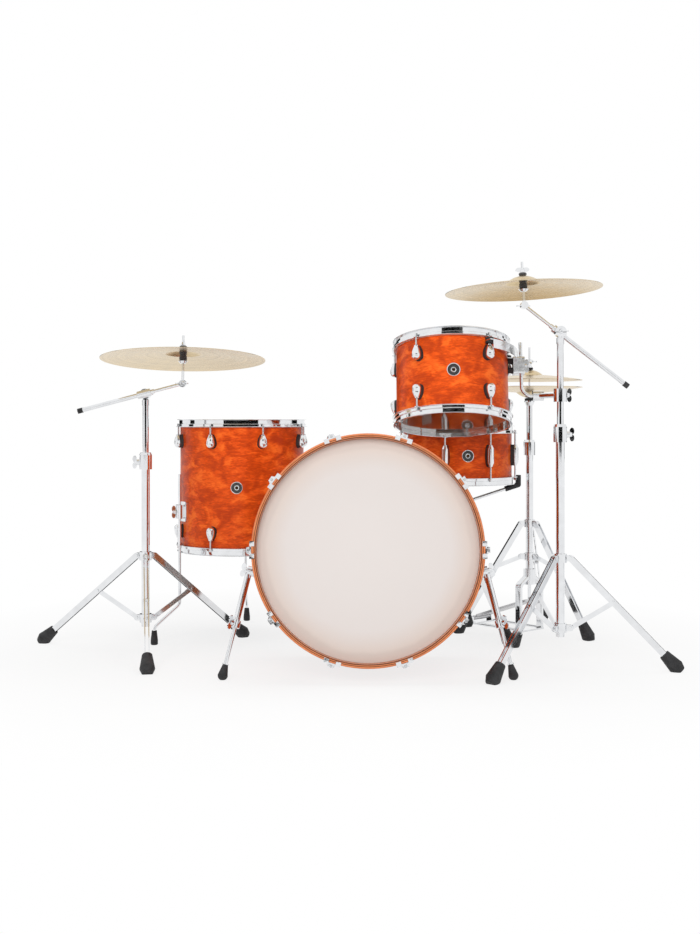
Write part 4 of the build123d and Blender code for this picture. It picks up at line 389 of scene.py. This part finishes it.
def plated(name, colour, smooth, rough, scale=30.0, wave=0.0):
    """Plated metal whose polish varies a little; wave gives the soft swell of a pressed or cast skin."""
    finish = Finish(name, {"Metallic": 1.0})
    local = finish.points()
    polish = finish.noise(local, scale, detail=4.0, rough=0.6)
    fine = finish.noise(local, 420.0, detail=2.0)
    finish.set({
        "Base Color": finish.ramp(polish, [(0.30, shade(colour, 0.93)), (0.70, shade(colour, 1.05))]),
        "Roughness": finish.between(finish.blend((polish, 0.6), (fine, 0.4)), 0.3, 0.7, smooth, rough)})
    swell = finish.noise(local, 2.0 * scale, detail=0.0)
    finish.bump(finish.blend((fine, 0.1), (swell, wave)), 0.15, 0.0002 + 0.006 * wave)
    return finish.material


def plated_lug(name, drum, colours):
    """Plated lug whose flank near the shell is painted dark and matt: painted shade and a painted dark
    reflection where it stands on the shell.
    """
    finish = Finish(name)
    _, _, away = shell_points(finish, drum)
    local = finish.points()
    polish = finish.noise(local, 30.0, detail=4.0, rough=0.6)
    # Lug faces near the shell get matt black rubber colour, no metal and more roughness: painted shade and
    # painted dark reflection on the chrome flank
    foot = finish.maths("LESS_THAN", away, drum.radius + LUG_SHADE_REACH)
    metal = finish.ramp(polish, [(0.30, shade(colours.chrome, 0.93)), (0.70, shade(colours.chrome, 1.05))])
    pad = finish.ramp(polish, [(0.30, shade(colours.rubber, 0.9)), (0.70, shade(colours.rubber, 1.6))])
    smooth = finish.between(polish, 0.3, 0.7, 0.035, 0.085)
    finish.set({
        "Base Color": finish.mix(foot, metal, pad),
        "Metallic": finish.between(foot, 0.0, 1.0, 1.0, 0.0),
        "Roughness": finish.maths("MULTIPLY_ADD", foot, 0.5, smooth)})
    return finish.material


def cast_metal():
    """Satin cast aluminium with a fine skin."""
    finish = Finish("cast_aluminium", {"Metallic": 1.0})
    local = finish.points()
    skin = finish.noise(local, 520.0, detail=3.0, rough=0.6)
    flow = finish.noise(local, 18.0, detail=3.0)
    finish.set({
        "Base Color": finish.ramp(flow, [(0.3, (0.50, 0.50, 0.51)), (0.7, (0.66, 0.66, 0.67))]),
        "Roughness": finish.between(skin, 0.3, 0.7, 0.28, 0.48)})
    finish.bump(skin, 0.12, 0.0004)
    return finish.material


def bronze(name, cymbal, colours):
    """Lathed bronze: rings round the hole."""
    finish = Finish(name, {"Metallic": 1.0})
    turn = Vector((0.0, 0.0, 1.0)).rotation_difference(Vector(cymbal.post)).to_euler()
    local = finish.points(cymbal.hole, tuple(turn))
    x, y, _ = finish.split(local)
    away = finish.distance(x, y)
    broad = finish.noise(finish.gather(finish.maths("MULTIPLY", away, 95.0), 0.0, 0.0), detail=2.0)
    groove = finish.noise(finish.gather(finish.maths("MULTIPLY", away, 620.0), 0.0, 0.0), detail=2.0)
    marks = finish.noise(local, 26.0, detail=3.0)
    tone = finish.blend((broad, 0.45), (groove, 0.30), (marks, 0.25))
    colour = finish.ramp(tone, [
        (0.34, shade(colours.bronze, 0.72)), (0.50, colours.bronze), (0.66, shade(colours.bronze, 1.20))])
    finish.set({
        "Base Color": colour,
        "Roughness": finish.between(finish.blend((groove, 0.7), (marks, 0.3)), 0.3, 0.7, 0.18, 0.34)})
    finish.bump(finish.blend((groove, 0.75), (broad, 0.25)), 0.22, 0.0006)
    return finish.material


def moulded_rubber(colours):
    """Matt black rubber with a fine moulded skin."""
    finish = Finish("black_rubber", {"Specular IOR Level": 0.35})
    local = finish.points()
    skin = finish.noise(local, 650.0, detail=3.0, rough=0.6)
    dust = finish.noise(local, 40.0, detail=3.0)
    black = colours.rubber
    finish.set({
        "Base Color": finish.ramp(dust, [(0.35, shade(black, 0.8)), (0.75, shade(black, 1.9))]),
        "Roughness": finish.between(skin, 0.3, 0.7, 0.52, 0.72)})
    finish.bump(skin, 0.18, 0.0004)
    return finish.material


def pressed_felt(colours):
    """Pressed wool felt: tangled fibres and a soft sheen."""
    finish = Finish("pressed_felt", {"Sheen Weight": 0.5, "Sheen Roughness": 0.5, "Specular IOR Level": 0.15})
    local = finish.points()
    fibres = finish.noise(local, 1100.0, detail=4.0, rough=0.7, twist=2.0)
    tufts = finish.noise(local, 220.0, detail=3.0)
    tone = finish.blend((fibres, 0.6), (tufts, 0.4))
    finish.set({
        "Base Color": finish.ramp(tone, [(0.32, shade(colours.felt, 0.5)), (0.68, shade(colours.felt, 1.7))]),
        "Roughness": finish.between(fibres, 0.3, 0.7, 0.82, 1.0)})
    finish.bump(fibres, 0.6, 0.0005)
    return finish.material


def enamel():
    """Glossy black enamel in the badges' ring."""
    finish = Finish("black_enamel", {"Coat Weight": 0.6, "Coat Roughness": 0.05})
    local = finish.points()
    cloud = finish.noise(local, 240.0, detail=3.0)
    finish.set({
        "Base Color": finish.ramp(cloud, [(0.3, (0.010, 0.010, 0.011)), (0.7, (0.024, 0.023, 0.023))]),
        "Roughness": finish.between(cloud, 0.3, 0.7, 0.12, 0.24)})
    return finish.material


def paint(node, *finishes, where=None):
    """Gives a frame node its finishes; where picks the second one for faces by their middles."""
    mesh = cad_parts[node].data
    mesh.materials.clear()
    for each in finishes:
        mesh.materials.append(each)
    if where is not None:
        middles = np.empty(len(mesh.polygons) * 3)
        mesh.polygons.foreach_get("center", middles)
        picked = where(middles.reshape(-1, 3)).astype(np.int32)
        mesh.polygons.foreach_set("material_index", picked)


def away_from(points, axis):
    """Level distance of points from an upright axis."""
    return np.hypot(points[:, 0] - axis[0], points[:, 1] - axis[1])


def within(values, limits):
    """Which values lie between two limits."""
    return (values > limits[0]) & (values < limits[1])


# Shapes

def new_piece(name, mould, body, finishes):
    """Turns a finished bmesh into a piece that rides on a body."""
    bmesh.ops.remove_doubles(mould, verts=mould.verts, dist=1e-6)
    bmesh.ops.recalc_face_normals(mould, faces=mould.faces)
    for face in mould.faces:
        face.smooth = True
    mesh = bpy.data.meshes.new(name)
    mould.to_mesh(mesh)
    mould.free()
    for each in finishes:
        mesh.materials.append(each)
    piece = bpy.data.objects.new(name, mesh)
    bpy.context.scene.collection.objects.link(piece)
    mesh.set_sharp_from_angle(angle=math.radians(40))
    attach(piece, body)
    return piece


def spin_profile(mould, profile, steps):
    """Turns a closed (radius, height) profile about Z."""
    verts = [mould.verts.new((r, 0.0, h)) for r, h in profile]
    edges = [mould.edges.new((a, b)) for a, b in zip(verts, verts[1:] + verts[:1])]
    bmesh.ops.spin(
        mould, geom=verts + edges, cent=(0, 0, 0), axis=(0, 0, 1), angle=2 * math.pi, steps=steps,
        use_merge=True)
    bmesh.ops.remove_doubles(mould, verts=mould.verts, dist=1e-7)


def drum_matrix(drum):
    return Matrix.Translation(drum.centre) @ Matrix.Rotation(math.radians(drum.lean), 4, "X")


def lay_on_shell(verts, drum, angle, height):
    """Bends flat-made verts (along, up, out) onto a shell at an angle from the front or the top."""
    turn = math.radians(angle)
    side = 1.0 if drum.badge is None else -1.0
    out = Vector((math.sin(turn), side * math.cos(turn), 0.0))
    along = Vector((math.cos(turn), -side * math.sin(turn), 0.0))
    matrix = drum_matrix(drum)
    for vert in verts:
        across, up, rise = vert.co
        distance = math.sqrt(drum.radius ** 2 - across ** 2) + rise
        vert.co = matrix @ (out * distance + along * across + Vector((0.0, 0.0, height + up)))


def post_matrix(cymbal):
    """Frame with its origin in a cymbal's hole and Z up its post."""
    return Matrix.Translation(cymbal.hole) @ Vector(cymbal.post).to_track_quat("Z", "Y").to_matrix().to_4x4()


# Operators

class KIT_OT_stain_shells(bpy.types.Operator):
    """Stain the four shells and the bass drum's hoops"""

    bl_idname = "kit.stain_shells"
    bl_label = "Stain the shells"

    def execute(self, context):
        colours = context.scene.kit_colours
        for name, drum in DRUMS.items():
            paint(f"{name}_shell", stained_wood(f"stained_wood_{name}", drum, colours))
        paint("bass_hoops", hoop_wood(colours))
        return {"FINISHED"}


class KIT_OT_fit_heads(bpy.types.Operator):
    """Give the drum heads their coated and clear films"""

    bl_idname = "kit.fit_heads"
    bl_label = "Fit the heads"

    def execute(self, context):
        colours = context.scene.kit_colours
        clear = clear_film()
        # The tint for the edge near the hoop is partly the film's tan and partly painted shade
        films = {name: coated_film(f"coated_film_{name}", drum, colours, (0.94, 0.90, 0.86))
                 for name, drum in DRUMS.items()}
        paint("bass_front_head", films["bass"])
        paint("bass_batter_head", films["bass"])
        paint("rack_tom_batter_head", films["rack_tom"])
        paint("rack_tom_resonant_head", clear)
        for name in ("floor_tom", "snare"):
            middle = DRUMS[name].centre[2]
            paint(f"{name}_heads", films[name], clear, where=lambda p, m=middle: p[:, 2] < m)
        return {"FINISHED"}


class KIT_OT_plate_hardware(bpy.types.Operator):
    """Plate the hoops, lugs, stands, rods and pedal, and blacken their rubber"""

    bl_idname = "kit.plate_hardware"
    bl_label = "Plate the hardware"

    def execute(self, context):
        colours = context.scene.kit_colours
        chrome = plated("chrome_metal", colours.chrome, 0.035, 0.085)
        steel = plated("rod_steel", shade(colours.chrome, 0.86), 0.12, 0.22, 60.0)
        wire = plated("steel_wire", shade(colours.chrome, 0.80), 0.20, 0.34, 140.0)
        rubber = moulded_rubber(colours)
        for node in CHROME_NODES:
            paint(node, chrome)
        paint("bass_claws", plated("pressed_chrome", colours.chrome, 0.04, 0.09, 28.0, 1.0))
        for name, drum in DRUMS.items():
            paint(f"{name}_lugs", plated_lug(f"plated_lug_{name}", drum, colours))
        for node in ROD_NODES:
            paint(node, steel)
        for node in RUBBER_NODES:
            paint(node, rubber)
        paint("snare_wires", wire)
        paint("hihat_pedal", cast_metal())
        for node, (pivot, slope, cap) in BOOMS.items():
            ray = np.array((math.cos(math.radians(slope)), math.sin(math.radians(slope))))
            paint(node, chrome, rubber, where=lambda p, o=pivot, r=ray, c=cap: (p[:, (0, 2)] - o) @ r < -c)
        paint("snare_basket", chrome, rubber, where=lambda p: away_from(p, SNARE_AXIS) > BASKET_GRIP_REACH)
        paint("hihat_stand_base", chrome, rubber, where=lambda p: (
            within(p[:, 2], HIHAT_PAD_HEIGHT) & (away_from(p, HIHAT_AXIS) < HIHAT_PAD_RADIUS)))
        paint("hihat_pull_rod", chrome, rubber, where=lambda p: (
            within(p[:, 2], CLUTCH_WASHER_HEIGHT) & (away_from(p, HIHAT_AXIS) > CLUTCH_WASHER_BORE)))
        bracket = plated("bracket_chrome", colours.chrome, 0.16, 0.28, 30.0, 1.0)
        paint("rack_tom_mount", bracket, rubber, where=self.bushes)
        return {"FINISHED"}

    @staticmethod
    def bushes(points):
        """Faces of the rubber bushes behind the tom's bracket block and of the bumpers on two of its rods."""
        drum = DRUMS["rack_tom"]
        back = np.array(drum_matrix(drum).inverted())
        local = points @ back[:3, :3].T + back[:3, 3]
        x, y, height = local.T
        picked = within(x, BUSH_X) & (np.abs(y) < BUSH_HALF_Y) & within(height, BUSH_HEIGHT)
        count, first = drum.lugs
        reach = drum.radius + BUMPER_STAND_OFF
        lips = (height < BUMPER_GROOVE[0]) | (height > BUMPER_GROOVE[1])
        for step in range(2):
            turn = math.radians(first + 360.0 / count * step)
            away = away_from(local, (reach * math.sin(turn), -reach * math.cos(turn)))
            near = within(height, BUMPER_HEIGHT) & (away < BUMPER_RADIUS)
            picked |= near & (lips | (away < BUMPER_WAIST))
        return picked


class KIT_OT_lathe_cymbals(bpy.types.Operator):
    """Give the cymbals their lathed bronze"""

    bl_idname = "kit.lathe_cymbals"
    bl_label = "Lathe the cymbals"

    def execute(self, context):
        for name, cymbal in CYMBALS.items():
            paint(cymbal.node, bronze(f"bronze_{name}", cymbal, context.scene.kit_colours))
        return {"FINISHED"}


class KIT_OT_add_badges(bpy.types.Operator):
    """Add a plain round badge with its grommet over each vent hole"""

    bl_idname = "kit.add_badges"
    bl_label = "Add the badges"

    def execute(self, context):
        edge = context.scene.kit_sizes.badge_radius
        rim = bpy.data.materials["chrome_metal"]
        ring = enamel()
        inner, floor, bore = 0.0081, 0.0009, 0.0050
        outer = edge - 0.0024
        profile = [
            (bore, -0.0072), (bore, 0.0016), (bore + 0.0005, 0.0022), (bore + 0.0019, 0.0022),
            (inner - 0.0003, 0.0013), (inner, floor), ((inner + outer) / 2, floor), (outer, floor),
            (outer + 0.0004, 0.0015), (outer + 0.0010, 0.0019), (edge - 0.0005, 0.0017), (edge, 0.0009),
            (edge, 0.0001), (bore + 0.0007, 0.0001), (bore + 0.0007, -0.0072)]
        for name, drum in DRUMS.items():
            if drum.badge is None:
                continue
            mould = bmesh.new()
            spin_profile(mould, profile, 48)
            for face in mould.faces:
                middle = face.calc_center_median()
                away = math.hypot(middle.x, middle.y)
                face.material_index = int(inner < away < outer and middle.z > floor / 2)
            lay_on_shell(mould.verts, drum, drum.badge, 0.0)
            new_piece(f"{name}_badge", mould, drum.body, (rim, ring))
        return {"FINISHED"}


class KIT_OT_add_gaskets(bpy.types.Operator):
    """Add the dark gaskets that show round the lugs"""

    bl_idname = "kit.add_gaskets"
    bl_label = "Add the lug gaskets"

    def execute(self, context):
        sizes = context.scene.kit_sizes
        rubber = bpy.data.materials["black_rubber"]
        for name, drum in DRUMS.items():
            mould = bmesh.new()
            count, first = drum.lugs
            for step in range(count):
                angle = first + 360.0 / count * step
                if drum.lug_height is None:
                    self.gasket(mould, drum, angle, 0.0, 1.0, sizes, TUBE_PAD)
                    continue
                for end in (1.0, -1.0):
                    self.gasket(mould, drum, angle, end * drum.lug_height, end, sizes, TEARDROP_PAD)
            new_piece(f"{name}_lug_gaskets", mould, drum.body, (rubber,))
        return {"FINISHED"}

    @staticmethod
    def gasket(mould, drum, angle, height, end, sizes, shape):
        """One gasket: an egg-shaped pad under a lug, its nose towards the hoop."""
        half, nose, tail = (size + sizes.gasket_border for size in shape)
        taper = 1.3 if nose > 2 * tail else 0.62
        verts = bmesh.ops.create_circle(mould, cap_ends=True, segments=32, radius=1.0)["verts"]
        pad = verts[0].link_faces[0]
        for vert in verts:
            across, up = vert.co.x, vert.co.y
            width = abs(across) ** (taper if up > 0 or tail == nose else 1.0)
            length = nose if up > 0 else tail
            vert.co = Vector((math.copysign(width, across) * half, end * up * length, 0.0001))
        made = bmesh.ops.extrude_face_region(mould, geom=[pad])["geom"]
        top = [each for each in made if isinstance(each, bmesh.types.BMVert)]
        for vert in top:
            vert.co.z = sizes.gasket_thickness
        lay_on_shell(verts + top, drum, angle, height)


class KIT_OT_press_felts(bpy.types.Operator):
    """Put pressed felts and a sleeve on the two cymbal posts"""

    bl_idname = "kit.press_felts"
    bl_label = "Press the felts"

    def execute(self, context):
        felt = pressed_felt(context.scene.kit_colours)
        nylon = bpy.data.materials["black_rubber"]
        edge = context.scene.kit_sizes.felt_edge
        for side in ("left", "right"):
            cymbal, body, node = CYMBALS[side], f"{side}_boom", f"{side}_cymbal_felts"
            for name, low, high, radius in FELTS:
                piece = self.washer(f"{side}_felt_{name}", cymbal, low, high, radius, edge, body, felt)
                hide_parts(node)
            mould = bmesh.new()
            spin_profile(mould, [
                (SLEEVE_BORE, SLEEVE_LOW), (SLEEVE_RADIUS, SLEEVE_LOW), (SLEEVE_RADIUS, SLEEVE_HIGH),
                (SLEEVE_BORE, SLEEVE_HIGH)], 24)
            mould.transform(post_matrix(cymbal))
            sleeve = new_piece(f"{side}_post_sleeve", mould, body, (nylon,))
            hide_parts(node)
        return {"FINISHED"}

    @staticmethod
    def washer(name, cymbal, low, high, radius, edge, body, felt):
        """A felt washer: crowned side, rounded edges and an uneven woolly skin."""
        mould = bmesh.new()
        bore, middle = FELT_BORE, (low + high) / 2
        waist = radius - FELT_CROWN
        spin_profile(mould, [
            (bore, low), (waist - edge, low), (waist, low + edge), (radius, middle), (waist, high - edge),
            (waist - edge, high), (bore, high)], 32)
        rings = [e for e in mould.edges if abs(e.verts[0].co.z - e.verts[1].co.z) < 1e-7
                 and abs(e.verts[0].co.xy.length - e.verts[1].co.xy.length) < 1e-7
                 and e.verts[0].co.xy.length > bore + 1e-4]
        bmesh.ops.bevel(
            mould, geom=rings, offset=0.0006, offset_type="OFFSET", affect="EDGES", segments=2, profile=0.5,
            material=-1)
        for vert in mould.verts:
            outward = Vector((vert.co.x, vert.co.y, 0.0))
            if outward.length > bore + 1e-4:
                lump = noise.noise(vert.co * 420.0) * FELT_LUMP
                vert.co += outward.normalized() * lump
        mould.transform(post_matrix(cymbal))
        return new_piece(name, mould, body, (felt,))


class KIT_OT_set_stage(bpy.types.Operator):
    """Set up the pale floor, the lamps, the dark cards and the camera"""

    bl_idname = "kit.set_stage"
    bl_label = "Set the stage"

    def execute(self, context):
        scene, studio = context.scene, context.scene.kit_studio
        scene.view_settings.view_transform = "Standard"
        self.floor()
        self.room(scene, studio.surround)
        self.lamp("key_lamp", KEY_PLACE, KEY_SIZE, studio.key)
        self.lamp("fill_lamp", FILL_PLACE, FILL_SIZE, studio.fill)
        self.lamp("top_lamp", TOP_PLACE, TOP_SIZE, studio.top)
        self.cards()
        camera = bpy.data.cameras.new("camera")
        camera.sensor_width = 36.0
        camera.lens = studio.lens
        camera.shift_y = CAMERA_SHIFT
        stand = bpy.data.objects.new("camera", camera)
        stand.location = CAMERA_PLACE
        stand.rotation_euler = (math.radians(90.0), 0.0, 0.0)
        scene.collection.objects.link(stand)
        scene.camera = stand
        return {"FINISHED"}

    @staticmethod
    def seen(tree):
        """1 for rays that show the background, 0 for rays that carry its light."""
        path = tree.nodes.new("ShaderNodeLightPath")
        total = path.outputs["Is Camera Ray"]
        for name in ("Is Glossy Ray", "Is Transmission Ray"):
            most = tree.nodes.new("ShaderNodeMath")
            most.operation = "MAXIMUM"
            tree.links.new(total, most.inputs[0])
            tree.links.new(path.outputs[name], most.inputs[1])
            total = most.outputs[0]
        return total

    def floor(self):
        mould = bmesh.new()
        bmesh.ops.create_circle(mould, cap_ends=True, segments=96, radius=FLOOR_RADIUS)
        mesh = bpy.data.meshes.new("floor")
        mould.to_mesh(mesh)
        mould.free()
        finish = Finish("pale_floor", {"Roughness": 0.9, "Specular IOR Level": 0.0})
        local = finish.points()
        x, y, _ = finish.split(local)
        away = finish.distance(x, y)
        grain = finish.noise(local, 3.0, detail=3.0)
        finish.set({"Base Color": finish.ramp(grain, [(0.3, (0.84, 0.84, 0.84)), (0.7, (0.88, 0.88, 0.88))])})
        glow = finish.add("Emission", {"Color": (1.0, 1.0, 1.0), "Strength": 1.0})
        clearing = finish.between(away, SHADOW_NEAR, SHADOW_FAR, 0.80, 1.0)
        share = finish.maths("MULTIPLY", self.seen(finish.tree), clearing)
        both = finish.add("MixShader", {"Fac": share})
        finish.join(finish.shader.outputs[0], both.inputs[1])
        finish.join(glow.outputs[0], both.inputs[2])
        finish.join(both.outputs[0], finish.tree.nodes["Material Output"].inputs["Surface"])
        mesh.materials.append(finish.material)
        floor = bpy.data.objects.new("floor", mesh)
        mesh.transform(Matrix.Translation((0.0, 0.0, -FLOOR_DROP)))
        bpy.context.scene.collection.objects.link(floor)

    def room(self, scene, surround):
        world = bpy.data.worlds.new("room")
        scene.world = world
        world.use_nodes = True
        tree = world.node_tree
        background = tree.nodes["Background"]
        background.inputs["Color"].default_value = (1.0, 1.0, 1.0, 1.0)
        level = tree.nodes.new("ShaderNodeMapRange")
        tree.links.new(self.seen(tree), level.inputs["Value"])
        level.inputs["To Min"].default_value = surround
        level.inputs["To Max"].default_value = 1.0
        tree.links.new(level.outputs[0], background.inputs["Strength"])

    @staticmethod
    def lamp(name, place, size, power):
        light = bpy.data.lights.new(name, "AREA")
        light.shape = "RECTANGLE"
        light.size, light.size_y = size
        light.energy = power
        lamp = bpy.data.objects.new(name, light)
        lamp.location = place
        lamp.rotation_euler = (Vector(LAMP_AIM) - Vector(place)).to_track_quat("-Z", "Y").to_euler()
        lamp.visible_glossy = False
        bpy.context.scene.collection.objects.link(lamp)

    @staticmethod
    def cards():
        """Dark cards round the studio that only polished metal shows."""
        mould = bmesh.new()
        for middle, spread, low, high in CARDS:
            verts = [mould.verts.new((0.0, -CARD_DISTANCE, z)) for z in (low, high)]
            edge = mould.edges.new(verts)
            start = Matrix.Rotation(math.radians(middle - spread), 3, "Z")
            bmesh.ops.rotate(mould, verts=verts, cent=(0, 0, 0), matrix=start)
            bmesh.ops.spin(
                mould, geom=verts + [edge], cent=(0, 0, 0), axis=(0, 0, 1),
                angle=math.radians(2 * spread), steps=16)
        mesh = bpy.data.meshes.new("dark_cards")
        mould.to_mesh(mesh)
        mould.free()
        finish = Finish("dark_card", {"Specular IOR Level": 0.0})
        cloth = finish.noise(finish.points(), 2.0, detail=3.0)
        black = finish.ramp(cloth, [(0.3, (0.006, 0.006, 0.006)), (0.7, (0.02, 0.02, 0.02))])
        finish.set({"Base Color": black})
        mesh.materials.append(finish.material)
        cards = bpy.data.objects.new("dark_cards", mesh)
        cards.visible_camera = False
        cards.visible_diffuse = False
        cards.visible_shadow = False
        cards.visible_transmission = False
        bpy.context.scene.collection.objects.link(cards)


OPERATORS = (
    KIT_OT_stain_shells, KIT_OT_fit_heads, KIT_OT_plate_hardware, KIT_OT_lathe_cymbals, KIT_OT_add_badges,
    KIT_OT_add_gaskets, KIT_OT_press_felts, KIT_OT_set_stage)


class KIT_PT_panel(bpy.types.Panel):
    bl_idname = "KIT_PT_panel"
    bl_label = "Drum kit"
    bl_space_type = "VIEW_3D"
    bl_region_type = "UI"
    bl_category = "Drum kit"

    def draw(self, context):
        for operator in OPERATORS:
            self.layout.operator(operator.bl_idname)
        for group in (context.scene.kit_colours, context.scene.kit_sizes, context.scene.kit_studio):
            box = self.layout.box()
            for name in group.__annotations__:
                box.prop(group, name)


GROUPS = {"kit_colours": KitColours, "kit_sizes": KitSizes, "kit_studio": KitStudio}


def register():
    for each in (*GROUPS.values(), *OPERATORS, KIT_PT_panel):
        bpy.utils.register_class(each)
    for name, group in GROUPS.items():
        setattr(bpy.types.Scene, name, PointerProperty(type=group))


def unregister():
    for name in GROUPS:
        delattr(bpy.types.Scene, name)
    for each in (KIT_PT_panel, *reversed(OPERATORS), *reversed(GROUPS.values())):
        bpy.utils.unregister_class(each)


def main():
    register()
    bpy.ops.kit.stain_shells()
    bpy.ops.kit.fit_heads()
    bpy.ops.kit.plate_hardware()
    bpy.ops.kit.lathe_cymbals()
    bpy.ops.kit.add_badges()
    bpy.ops.kit.add_gaskets()
    bpy.ops.kit.press_felts()
    bpy.ops.kit.set_stage()


if __name__ == "__main__":
    main()
